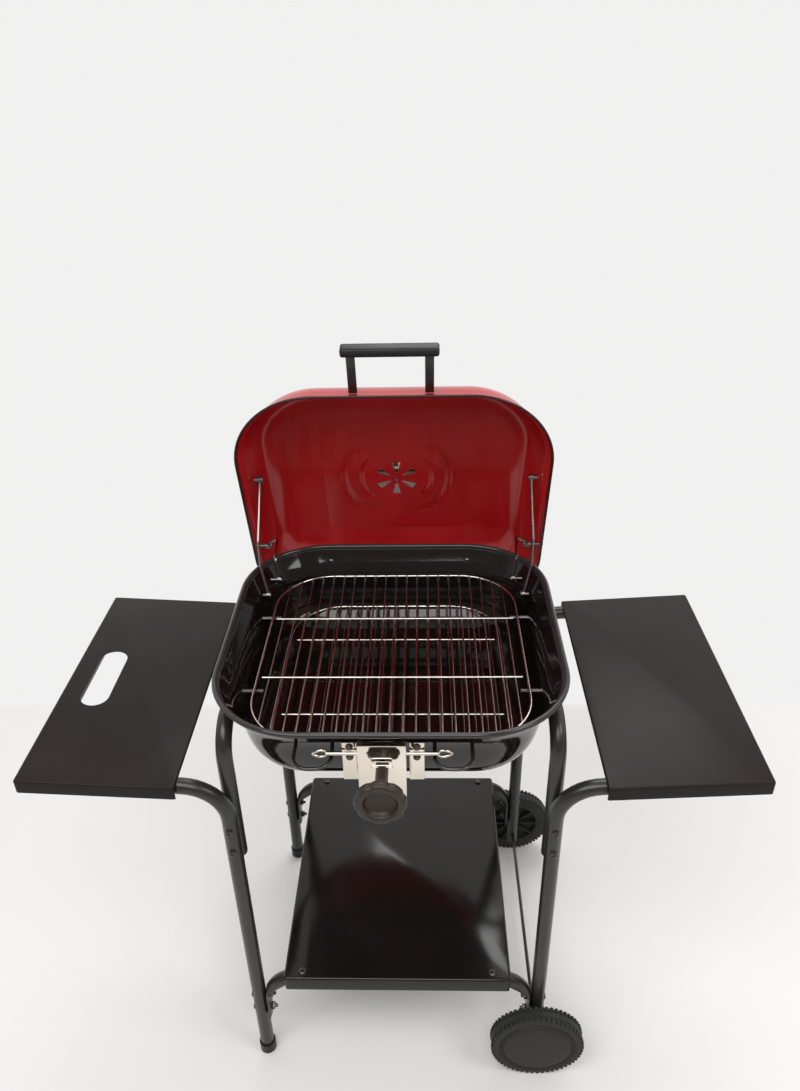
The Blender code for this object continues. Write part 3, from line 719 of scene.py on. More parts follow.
class NodeShape:
    """A Geometry Nodes tree with named inputs that turns a mesh into a finished shape."""

    title = "shape"
    inputs: tuple[tuple[str, str], ...] = ()

    def __init__(self) -> None:
        """Make the tree, its sockets and its nodes."""
        self.tree = bpy.data.node_groups.new(self.title, "GeometryNodeTree")
        self.graph = Graph(self.tree)
        self.tree.interface.new_socket("Geometry", in_out="INPUT", socket_type="NodeSocketGeometry")
        self.tree.interface.new_socket("Geometry", in_out="OUTPUT", socket_type="NodeSocketGeometry")
        self.keys: dict[str, str] = {}
        for name, kind in (*self.inputs, ("Finish", "NodeSocketMaterial")):
            socket = self.tree.interface.new_socket(name, in_out="INPUT", socket_type=kind)
            self.keys[name] = socket.identifier
        self.entry = self.graph.node("NodeGroupInput")
        shape = self.wire_up()
        solid = self.graph.node("GeometryNodeRealizeInstances", None, {"Geometry": shape}).outputs[0]
        painted = self.graph.node("GeometryNodeSetMaterial", None,
                                  {"Geometry": solid, "Material": self.entry.outputs["Finish"]}).outputs[0]
        self.graph.node("NodeGroupOutput", None, {"Geometry": painted})

    def wire_up(self) -> bpy.types.NodeSocket:
        """Add the tree's own nodes and give the shape's socket."""
        raise NotImplementedError

    def number(self, name: str) -> Value:
        """An input of the tree as a number."""
        return Value(self.graph, self.entry.outputs[name])

    def attribute(self, name: str, kind: str) -> bpy.types.NodeSocket:
        """A named attribute of the incoming mesh.

        Args:
            name: Its name.
            kind: Its data type.

        Returns:
            The attribute's socket.
        """
        return self.graph.node("GeometryNodeInputNamedAttribute", {"data_type": kind},
                               {"Name": name}).outputs[0]

    def apply(self, obj: bpy.types.Object, finish: Finish, **values: Any) -> bpy.types.Object:
        """Run the tree on an object and keep the result as a plain mesh.

        Args:
            obj: The object that carries the incoming mesh.
            finish: The finish that its faces get.
            **values: The tree's inputs, with _ for the space in a name.

        Returns:
            The same object.
        """
        modifier = obj.modifiers.new(self.title, "NODES")
        modifier.node_group = self.tree
        modifier[self.keys["Finish"]] = finish.material()
        for name, value in values.items():
            modifier[self.keys[name.replace("_", " ")]] = value
        return bake(obj)


class Sweep(NodeShape):
    """Sweeps a round section along a polyline whose corners are rounded by their own radius."""

    title = "sweep"
    inputs = (("Radius", "NodeSocketFloat"), ("Sides", "NodeSocketInt"), ("Bend Steps", "NodeSocketInt"))

    def wire_up(self) -> bpy.types.NodeSocket:
        """Polyline to filleted curve to tube with closed ends.

        Returns:
            The tube's socket.
        """
        g = self.graph
        curve = g.node("GeometryNodeMeshToCurve", None, {"Mesh": self.entry.outputs["Geometry"]}).outputs[0]
        bend = self.attribute("bend", "FLOAT")
        fillet = g.node("GeometryNodeFilletCurve", {"mode": "POLY"},
                        {"Curve": curve, "Radius": bend, "Count": self.entry.outputs["Bend Steps"],
                         "Limit Radius": True}).outputs[0]
        section = g.node("GeometryNodeCurvePrimitiveCircle", None,
                         {"Radius": self.entry.outputs["Radius"],
                          "Resolution": self.entry.outputs["Sides"]}).outputs[0]
        return g.node("GeometryNodeCurveToMesh", None,
                      {"Curve": fillet, "Profile Curve": section, "Fill Caps": True}).outputs[0]


class Scatter(NodeShape):
    """Sets a copy of one piece on each vertex, turned to face the vertex's own direction."""

    title = "scatter"
    inputs = (("Piece", "NodeSocketObject"),)

    def wire_up(self) -> bpy.types.NodeSocket:
        """Points to turned instances.

        Returns:
            The instances' socket.
        """
        g = self.graph
        piece = g.node("GeometryNodeObjectInfo", None, {"Object": self.entry.outputs["Piece"]})
        turn = g.node("FunctionNodeAlignRotationToVector", {"axis": "Z"},
                      {"Vector": self.attribute("facing", "FLOAT_VECTOR")}).outputs[0]
        points = g.node("GeometryNodeMeshToPoints", None,
                        {"Mesh": self.entry.outputs["Geometry"]}).outputs[0]
        return g.node("GeometryNodeInstanceOnPoints", None,
                      {"Points": points, "Instance": piece.outputs["Geometry"],
                       "Rotation": turn}).outputs[0]


class Crown(NodeShape):
    """Repeats a piece round the Y axis; the piece's X points away from the axis."""

    title = "crown"
    inputs = (("Piece", "NodeSocketObject"), ("Count", "NodeSocketInt"), ("Centre", "NodeSocketVector"))

    def wire_up(self) -> bpy.types.NodeSocket:
        """Equal turns about Y, then a shift to the centre.

        Returns:
            The ring's socket.
        """
        g = self.graph
        piece = g.node("GeometryNodeObjectInfo", None, {"Object": self.entry.outputs["Piece"]})
        points = g.node("GeometryNodePoints", None, {"Count": self.entry.outputs["Count"]}).outputs[0]
        index = Value(g, g.node("GeometryNodeInputIndex").outputs[0])
        angle = index * FULL_TURN / self.number("Count")
        ring = g.node("GeometryNodeInstanceOnPoints", None,
                      {"Points": points, "Instance": piece.outputs["Geometry"]}).outputs[0]
        turned_ring = g.node("GeometryNodeRotateInstances", None,
                             {"Instances": ring, "Rotation": g.vector(0.0, angle, 0.0)}).outputs[0]
        return g.node("GeometryNodeTransform", None,
                      {"Geometry": turned_ring, "Translation": self.entry.outputs["Centre"]}).outputs[0]


class GrateShape(NodeShape):
    """Welded wire grate: a rounded frame, wires from front to back, and two wires across."""

    title = "wire_grate"
    inputs = (("Half X", "NodeSocketFloat"), ("Half Y", "NodeSocketFloat"),
              ("Corner", "NodeSocketFloat"), ("Height", "NodeSocketFloat"),
              ("Wires", "NodeSocketInt"), ("Wire Radius", "NodeSocketFloat"),
              ("Frame Radius", "NodeSocketFloat"), ("Cross X", "NodeSocketFloat"),
              ("Cross Y", "NodeSocketFloat"))
    wire_sides = 8
    corner_steps = 14
    weld_lift = 0.0004
    cross_lift = 1.6

    def _rod(self, half: Operand, along_x: bool) -> bpy.types.NodeSocket:
        """A straight wire through the origin.

        Args:
            half: Half its length.
            along_x: Along X; otherwise along Y.

        Returns:
            The wire's socket.
        """
        g = self.graph
        ends = (g.vector(-half, 0.0, 0.0), g.vector(half, 0.0, 0.0))
        if not along_x:
            ends = (g.vector(0.0, -half, 0.0), g.vector(0.0, half, 0.0))
        line = g.node("GeometryNodeCurvePrimitiveLine", None,
                      {"Start": ends[0], "End": ends[1]}).outputs[0]
        return self._sweep(line, "Wire Radius")

    def _sweep(self, curve: bpy.types.NodeSocket, radius: str) -> bpy.types.NodeSocket:
        """Sweep a round section along a curve.

        Args:
            curve: The curve's socket.
            radius: Name of the input that gives the radius.

        Returns:
            The wire's socket.
        """
        g = self.graph
        section = g.node("GeometryNodeCurvePrimitiveCircle", None,
                         {"Radius": self.entry.outputs[radius],
                          "Resolution": self.wire_sides}).outputs[0]
        return g.node("GeometryNodeCurveToMesh", None,
                      {"Curve": curve, "Profile Curve": section, "Fill Caps": True}).outputs[0]

    def _raise(self, shape: bpy.types.NodeSocket, y: Operand, z: Operand) -> bpy.types.NodeSocket:
        """Shift a shape.

        Args:
            shape: The shape's socket.
            y: Shift along Y.
            z: Shift along Z.

        Returns:
            The shifted shape's socket.
        """
        return self.graph.node("GeometryNodeTransform", None,
                               {"Geometry": shape,
                                "Translation": self.graph.vector(0.0, y, z)}).outputs[0]

    def wire_up(self) -> bpy.types.NodeSocket:
        """Frame, long wires cut to the frame's outline, and the two wires across on top.

        Returns:
            The grate's socket.
        """
        g = self.graph
        half_x, half_y = self.number("Half X"), self.number("Half Y")
        corner, height = self.number("Corner"), self.number("Height")
        outer = g.node("GeometryNodeCurvePrimitiveQuadrilateral", None,
                       {"Width": half_x * 2.0, "Height": half_y * 2.0}).outputs[0]
        outer = g.node("GeometryNodeFilletCurve", {"mode": "POLY"},
                       {"Curve": outer, "Radius": corner, "Count": self.corner_steps}).outputs[0]
        rim = self._raise(self._sweep(outer, "Frame Radius"), 0.0, height)
        gap = half_x * 2.0 / (self.number("Wires") + 1.0)
        points = g.node("GeometryNodeMeshLine", None,
                        {"Count": self.entry.outputs["Wires"],
                         "Start Location": g.vector(gap - half_x, 0.0, 0.0),
                         "Offset": g.vector(gap, 0.0, 0.0)}).outputs[0]
        place = g.node("ShaderNodeSeparateXYZ", None,
                       {"Vector": g.node("GeometryNodeInputPosition").outputs[0]})
        edge = (abs(Value(g, place.outputs["X"])) - (half_x - corner)).at_least(0.0)
        reach = half_y - corner + (corner * corner - edge * edge).at_least(0.0).root()
        # Marks the long wires for the grate finish's pink-brown tint, which is a painted reflection of the
        # red lid.
        rod = g.node("GeometryNodeStoreNamedAttribute", {"data_type": "FLOAT", "domain": "POINT"},
                     {"Geometry": self._rod(1.0, False), "Name": "warm", "Value": 1.0})
        long_wires = g.node("GeometryNodeInstanceOnPoints", None,
                            {"Points": points, "Instance": rod.outputs[0],
                             "Scale": g.vector(1.0, reach, 1.0)}).outputs[0]
        long_wires = self._raise(long_wires, 0.0, height + self.weld_lift)
        lift = height + self.number("Wire Radius") * self.cross_lift
        cross = self.number("Cross Y")
        parts = [rim, long_wires]
        for side in (-1.0, 1.0):
            parts.append(self._raise(self._rod(self.number("Cross X"), True), cross * side, lift))
        join = g.node("GeometryNodeJoinGeometry")
        for part in parts:
            g.feed(join.inputs[0], part)
        return join.outputs[0]


class Tools:
    """The node trees that the sub-assemblies share, each made once."""

    def __init__(self) -> None:
        """Make the trees."""
        self.sweep = Sweep()
        self.scatter = Scatter()
        self.crown = Crown()
        self.grate = GrateShape()

    def tube(self, name: str, corners: Sequence[Sequence[float]], bends: Sequence[float],
             radius: float, finish: Finish, sides: int = 20, steps: int = 10) -> bpy.types.Object:
        """Sweep a tube or wire through corners.

        Args:
            name: The piece's name.
            corners: Corner points.
            bends: Bend radius at each inner corner.
            radius: Radius of the tube.
            finish: Its finish.
            sides: Sides of its section.
            steps: Steps round each bend.

        Returns:
            The piece.
        """
        mesh = bpy.data.meshes.new(name)
        edges = [(i, i + 1) for i in range(len(corners) - 1)]
        mesh.from_pydata([tuple(c) for c in corners], edges, [])
        bend = mesh.attributes.new("bend", "FLOAT", "POINT")
        bend.data.foreach_set("value", [0.0, *bends, 0.0])
        obj = link_mesh(name, mesh)
        return self.sweep.apply(obj, finish, Radius=radius, Sides=sides, Bend_Steps=steps)

    def set_heads(self, name: str, head: bpy.types.Object, seats: Sequence[Seat],
                  finish: Finish) -> bpy.types.Object:
        """Set copies of a screw head.

        Args:
            name: The piece's name.
            head: The head, with its seat at the origin and its axis along +Z.
            seats: Pairs of seat and direction.
            finish: Its finish.

        Returns:
            All the heads as one piece.
        """
        mesh = bpy.data.meshes.new(name)
        mesh.from_pydata([tuple(seat) for seat, _ in seats], [], [])
        facing = mesh.attributes.new("facing", "FLOAT_VECTOR", "POINT")
        facing.data.foreach_set("vector", [c for _, direction in seats for c in direction])
        return self.scatter.apply(link_mesh(name, mesh), finish, Piece=head)

    def ring_of(self, name: str, piece: bpy.types.Object, count: int, centre: Vector,
                finish: Finish) -> bpy.types.Object:
        """Repeat a piece round an axis along Y.

        Args:
            name: The result's name.
            piece: The piece, X away from the axis.
            count: Number of copies.
            centre: Where the axis goes through.
            finish: Its finish.

        Returns:
            All the copies as one piece.
        """
        obj = link_mesh(name, bpy.data.meshes.new(name))
        result = self.crown.apply(obj, finish, Piece=piece, Count=count, Centre=centre)
        bpy.data.objects.remove(piece, do_unlink=True)
        return result


# ---------------------------------------------------------------- screws


class Head(Enum):
    """Kinds of screw head and nut."""

    PAN = "pan"
    DOME = "dome"
    HEX = "hex"


@dataclass
class Screws:
    """Screw heads and nuts, which are set wherever a seat and a direction are given.

    Attributes:
        tools: The shared node trees.
        radius: Radius of a pan head and of a nut over its corners.
        height: Height of a pan head.
        recess: Half length of the cross recess.
        slot: Half width of the cross recess.
        cap: A head's outline, as shares of (radius, height).
        nut: A nut's outline, as (share of the radius, height).
        stud: Outline of the screw's end, as (radius, height).
        made: Source heads made so far.
    """

    tools: Tools
    radius: float = 0.0058
    height: float = 0.0032
    recess: float = 0.0034
    slot: float = 0.0006
    cap: tuple[tuple[float, float], ...] = (
        (0.9, -0.05), (1.0, 0.0), (1.0, 0.30), (0.93, 0.62), (0.75, 0.86), (0.45, 0.98), (0.15, 1.0))
    nut: tuple[tuple[float, float], ...] = (
        (0.94, 0.0), (1.0, 0.0006), (1.0, 0.0042), (0.94, 0.0048))
    stud: tuple[tuple[float, float], ...] = ((0.0028, 0.002), (0.0028, 0.0085), (0.0022, 0.0092))
    made: dict[Head, bpy.types.Object] = field(default_factory=dict)

    def shape(self, kind: Head) -> bpy.types.Object:
        """The head of a kind, made once and hidden.

        Args:
            kind: Which head.

        Returns:
            The source object.
        """
        if kind not in self.made:
            makers = {Head.PAN: self._pan, Head.DOME: self._dome, Head.HEX: self._hex}
            self.made[kind] = makers[kind]()
        return self.made[kind]

    def _stack(self, levels: Iterable[tuple[float, float]], steps: int) -> bmesh.types.BMesh:
        """Skin level circles round Z.

        Args:
            levels: Pairs of radius and height.
            steps: Steps round each circle.

        Returns:
            The closed shape.
        """
        turns = [FULL_TURN * step / steps for step in range(steps)]
        return loft([[Vector((radius * math.cos(a), radius * math.sin(a), z)) for a in turns]
                     for radius, z in levels])

    def _cap(self, radius: float, height: float, steps: int) -> bmesh.types.BMesh:
        """A low dome with a short straight rim.

        Args:
            radius: Its radius.
            height: Its height.
            steps: Steps round it.

        Returns:
            The dome.
        """
        return self._stack([(radius * r, height * z) for r, z in self.cap], steps)

    def _pan(self) -> bpy.types.Object:
        """Pan head with a cross recess.

        Returns:
            The head.
        """
        head = to_object("pan_head", self._cap(self.radius, self.height, 20))
        deep, top = self.height * 0.45, self.height * 1.5
        for half_x, half_y in ((self.recess, self.slot), (self.slot, self.recess)):
            boolean(head, box((-half_x, -half_y, deep), (half_x, half_y, top)), "DIFFERENCE")
        return head

    def _dome(self) -> bpy.types.Object:
        """Plain domed head."""
        return to_object("dome_head", self._cap(self.radius * 0.85, self.height * 1.3, 18))

    def _hex(self) -> bpy.types.Object:
        """Hexagon nut with the screw's end standing out of it.

        Returns:
            The nut.
        """
        nut = to_object("hex_nut", self._stack([(self.radius * r, z) for r, z in self.nut], 6))
        return boolean(nut, self._stack(self.stud, 12), "UNION")

    def place(self, name: str, kind: Head, seats: Sequence[Seat], body: str,
              replaces: Iterable[str] = (), finish: Finish = SCREW_STEEL) -> None:
        """Set heads and attach them.

        Args:
            name: The piece's name.
            kind: Which head.
            seats: Pairs of seat and direction.
            body: The body that they ride on.
            replaces: Frame nodes that they stand for.
            finish: Their finish.
        """
        piece = self.tools.set_heads(name, self.shape(kind), seats, finish)
        settle(piece, body, finish, replaces, 30.0)

    def clear(self) -> None:
        """Remove the source heads."""
        for head in self.made.values():
            bpy.data.objects.remove(head, do_unlink=True)


# ---------------------------------------------------------------- trolley


@dataclass
class Trolley:
    """The bent tubes, their plastic feet and the screws that hold them together.

    Attributes:
        tools: The shared node trees.
        screws: The screw heads.
        tube_r: Radius of the tubes.
        arm_bend: Bend radius where an arm leaves its legs.
        arm_corner: Bend radius at an arm's outer corners.
        carrier_bend: Bend radius of the bowl's carriers.
        brace_bend: Bend radius of the braces.
        flange: Height of the tables' turned-down edges.
        flat_top: Height below which the braces' ends are pressed flat.
        flat_fade: Height over which the pressing fades out.
        flat_share: Thickness that pressing leaves, as a share.
        flat_spread: How much wider pressing makes the tube, as a share.
        joint_heights: Heights of the screws that join arms and carriers.
        brace_heights: Heights of the screws that join legs and braces.
        under_y: Distance of the tables' screws from the middle.
    """

    tools: Tools
    screws: Screws
    tube_r: float = 0.011
    arm_bend: float = 0.060
    arm_corner: float = 0.040
    carrier_bend: float = 0.045
    brace_bend: float = 0.040
    flange: float = 0.0204
    flat_top: float = 0.156
    flat_fade: float = 0.024
    flat_share: float = 0.25
    flat_spread: float = 0.28
    joint_heights: tuple[float, float] = (0.531, 0.491)
    brace_heights: tuple[float, float] = (0.150, 0.117)
    under_y: float = 0.12

    def _tube(self, node: str, corners: Sequence[Sequence[float]], bends: Sequence[float]) -> None:
        """Sweep a tube in place of a frame node.

        Args:
            node: The frame node.
            corners: Corner points of the tube's middle line.
            bends: Bend radius at each inner corner.
        """
        piece = self.tools.tube(f"{node}_tube", corners, bends, self.tube_r, TUBE_PAINT)
        settle(piece, "trolley", TUBE_PAINT, [node], 50.0)

    def build(self) -> None:
        """Make all tubes, feet and their screws."""
        half = self.tube_r * FACET
        for side_name, side in (("left", -1.0), ("right", 1.0)):
            for end in ("front", "rear"):
                node = f"leg_{end}_{side_name}"
                low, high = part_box(node)
                mid = (low + high) / 2.0
                self._tube(node, ((mid.x, mid.y, low.z), (mid.x, mid.y, high.z)), ())
            self._arm(side_name, side, half)
            self._carrier(side_name, half)
        for end in ("front", "rear"):
            self._brace(end, half)
            self._foot(end)
        self._joints()

    def _arm(self, side_name: str, side: float, half: float) -> None:
        """The tube that carries a side table.

        Args:
            side_name: "left" or "right".
            side: Its direction along X, -1 or 1.
            half: Half the frame tube's width over its flats.
        """
        node = f"table_arm_{side_name}"
        low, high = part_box(node)
        leg = centre_of(f"leg_front_{side_name}")
        table_low, table_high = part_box(f"side_table_{side_name}")
        slope = (table_high.z - table_low.z - self.flange) / (table_high.x - table_low.x)
        outer_x = (high.x if side > 0 else -low.x) - half
        outer_z = high.z - half
        inner_z = outer_z - slope * (outer_x - abs(leg.x))
        y = abs(leg.y)
        corners = ((leg.x, -y, low.z), (leg.x, -y, inner_z), (side * outer_x, -y, outer_z),
                   (side * outer_x, y, outer_z), (leg.x, y, inner_z), (leg.x, y, low.z))
        self._tube(node, corners, (self.arm_bend, self.arm_corner, self.arm_corner, self.arm_bend))

    def _carrier(self, side_name: str, half: float) -> None:
        """The inverted U that carries the bowl.

        Args:
            side_name: "left" or "right".
            half: Half the frame tube's width over its flats.
        """
        node = f"bowl_carrier_{side_name}"
        low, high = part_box(node)
        x = (low.x + high.x) / 2.0
        y = high.y - half
        z = high.z - half
        corners = ((x, -y, low.z), (x, -y, z), (x, y, z), (x, y, low.z))
        self._tube(node, corners, (self.carrier_bend, self.carrier_bend))

    def _brace(self, end: str, half: float) -> None:
        """The inverted U under the shelf's edge, with its ends pressed flat.

        Args:
            end: "front" or "rear".
            half: Half the frame tube's width over its flats.
        """
        node = f"shelf_brace_{end}"
        low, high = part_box(node)
        y = (low.y + high.y) / 2.0
        x = high.x - half
        z = high.z - half
        corners = ((-x, y, low.z), (-x, y, z), (x, y, z), (x, y, low.z))
        piece = self.tools.tube(f"{node}_tube", corners, (self.brace_bend, self.brace_bend),
                                self.tube_r, TUBE_PAINT, 28, 16)
        face = x + self.tube_r * 0.97
        for vert in piece.data.vertices:
            share = max(0.0, min(1.0, (vert.co.z - self.flat_top) / self.flat_fade))
            share = share * share * (3.0 - 2.0 * share)
            side = math.copysign(1.0, vert.co.x)
            flat = face - (face - abs(vert.co.x)) * self.flat_share
            vert.co.x = side * (flat + (abs(vert.co.x) - flat) * share)
            vert.co.y = y + (vert.co.y - y) * (1.0 + self.flat_spread * (1.0 - share))
        settle(piece, "trolley", TUBE_PAINT, [node], 50.0)

    def _foot(self, end: str) -> None:
        """The plastic cup on a left leg's foot.

        Args:
            end: "front" or "rear".
        """
        node = f"foot_cap_{end}"
        low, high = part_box(node)
        mid = (low + high) / 2.0
        radius = (high.x - low.x) / 2.0
        tall = high.z - low.z
        profile = [(0.002, 0.0), (radius - 0.002, 0.0), (radius, 0.002), (radius, tall - 0.0015),
                   (radius - 0.0012, tall), (self.tube_r + 0.0003, tall), (self.tube_r + 0.0003, 0.003),
                   (0.002, 0.003)]
        seat = Vector((mid.x, mid.y, low.z))
        cap = to_object(f"{node}_cup", turned(profile, 40, seat, Vector((0.0, 0.0, 1.0))))
        settle(cap, "trolley", GRIP_PLASTIC, [node])

    def _joints(self) -> None:
        """Screws through the overlapping tubes, with nuts on the inner side of the braces."""
        pans, nuts = [], []
        for side in (-1.0, 1.0):
            x = centre_of("leg_front_right").x * side
            for end in (-1.0, 1.0):
                y = centre_of("leg_rear_left").y * end
                for z in self.joint_heights:
                    pans.append(((x, y + end * self.tube_r, z), (0.0, end, 0.0)))
                for z in self.brace_heights:
                    pans.append(((x + side * (self.tube_r - 0.0016), y, z), (side, 0.0, 0.0)))
                    nuts.append(((x - side * (self.tube_r + 0.0062), y, z), (-side, 0.0, 0.0)))
        self.screws.place("trolley_screws", Head.PAN, pans, "trolley")
        self.screws.place("brace_nuts", Head.HEX, nuts, "trolley")
        under = []
        for side_name, side in (("left", -1.0), ("right", 1.0)):
            low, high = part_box(f"table_arm_{side_name}")
            reach = max(abs(low.x), abs(high.x)) - self.tube_r
            for y in (-self.under_y, self.under_y):
                under.append(((side * reach, y, high.z - 2.0 * self.tube_r), (0.0, 0.0, -1.0)))
        self.screws.place("table_screws", Head.PAN, under, "trolley")


@dataclass
class Tray:
    """A folded sheet: flat top, rounded corners and edges turned down.

    Attributes:
        node: The frame node that it replaces.
        finish: Its finish.
        flange: Height of the turned-down edge.
        sheet: Thickness.
        fold: Radius of the folded edge.
        corner: Radius of its corners in plan.
    """

    node: str
    finish: Finish
    flange: float
    sheet: float = 0.0012
    fold: float = 0.0028
    corner: float = 0.004

    def build(self, tilt: float = 0.0, open_x: Sequence[float] = (),
              slot: tuple[float, float, float] | None = None) -> bpy.types.Object:
        """Make the tray.

        Args:
            tilt: Rise of the top from its inner to its outer edge.
            open_x: Directions along X (-1 or 1) in which the edge isn't turned down.
            slot: Middle X, half length and half width of a hand slot.

        Returns:
            The piece.
        """
        low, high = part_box(self.node)
        mid = (low + high) / 2.0
        half_x, half_y = (high.x - low.x) / 2.0, (high.y - low.y) / 2.0
        side = 1.0 if mid.x > 0.0 else -1.0
        top = high.z - tilt

        def place(x: float, y: float, z: float) -> Vector:
            """World point of a point on the level tray.

            Args:
                x: Distance from the tray's middle along X.
                y: Distance from the tray's middle along Y.
                z: Height over the level top.

            Returns:
                The world point.
            """
            share = (side * x + half_x) / (2.0 * half_x)
            return Vector((mid.x + x, mid.y + y, top + tilt * share + z))

        chain = [(self.fold * (1 - math.sin(a)), -self.fold * (1 - math.cos(a)))
                 for a in (math.pi / 2 * s / 4 for s in range(5))]
        chain.append((0.0, -self.flange))
        inner = [(i + self.sheet * (1.0 if i < self.fold * 0.9 else 0.35),
                  z - self.sheet * (0.6 if i > 0.0005 else 0.0)) for i, z in chain]
        inner[-1] = (self.sheet, -self.flange)
        inner[0] = (self.fold + self.sheet * 0.3, -self.sheet)
        rings = []
        for inset, z in chain + list(reversed(inner)):
            points = outline(half_x - inset, half_y - inset, max(self.corner - inset, 0.0008), 5, 10)
            rings.append([place(x, y, z) for x, y in points])
        tray = to_object(f"{self.node}_sheet", loft(rings))
        for way in open_x:
            edge = mid.x + way * half_x
            cut_low = (min(edge, edge - way * 0.006), low.y + 0.0015, low.z - 0.01)
            cut_high = (max(edge + way * 0.001, edge - way * 0.006), high.y - 0.0015,
                        high.z - self.sheet - tilt - 0.0012)
            boolean(tray, box(cut_low, cut_high), "DIFFERENCE")
        if slot is not None:
            self._slot(tray, slot, low.z, high.z)
        return settle(tray, "trolley", self.finish, [self.node], 32.0)

    def _slot(self, tray: bpy.types.Object, slot: tuple[float, float, float], low_z: float,
              high_z: float) -> None:
        """Cut a hand slot with round ends.

        Args:
            tray: The tray to cut.
            slot: Middle X, half length and half width of the slot.
            low_z: Height of the tray's lowest point.
            high_z: Height of its highest point.
        """
        x, half_length, half_width = slot
        ring = outline(half_width, half_length, half_width * 0.999, 14)
        rings = [[Vector((x + px, py, z)) for px, py in ring] for z in (low_z - 0.02, high_z + 0.02)]
        boolean(tray, loft(rings), "DIFFERENCE")


@dataclass
class Tops:
    """The side tables and the lower shelf with its screws.

    Attributes:
        tools: The shared node trees.
        screws: The screw heads.
        table_flange: Height of the tables' edges.
        shelf_flange: Height of the shelf's edges.
        slot_x: Middle of the hand slot.
        slot_half_length: Half the slot's length.
        slot_half_width: Half the slot's width.
    """

    tools: Tools
    screws: Screws
    table_flange: float = 0.0204
    shelf_flange: float = 0.0266
    slot_x: float = -0.441
    slot_half_length: float = 0.0645
    slot_half_width: float = 0.0205

    def build(self) -> None:
        """Make the three trays."""
        for side_name, way in (("left", 1.0), ("right", -1.0)):
            node = f"side_table_{side_name}"
            low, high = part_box(node)
            tilt = high.z - low.z - self.table_flange
            slot = None
            if side_name == "left":
                slot = (self.slot_x, self.slot_half_length, self.slot_half_width)
            Tray(node, TABLE_PAINT, self.table_flange).build(tilt, (way,), slot)
        Tray("shelf", SHELF_PAINT, self.shelf_flange, fold=0.004, corner=0.006).build(0.0, (-1.0, 1.0))
        seats, nodes = [], []
        for number in range(1, 5):
            node = f"shelf_bolt_{number}"
            mid = centre_of(node)
            seats.append(((mid.x, mid.y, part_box("shelf")[1].z), (0.0, 0.0, 1.0)))
            nodes.append(node)
        self.screws.place("shelf_screws", Head.PAN, seats, "trolley", nodes)


# ---------------------------------------------------------------- wheels


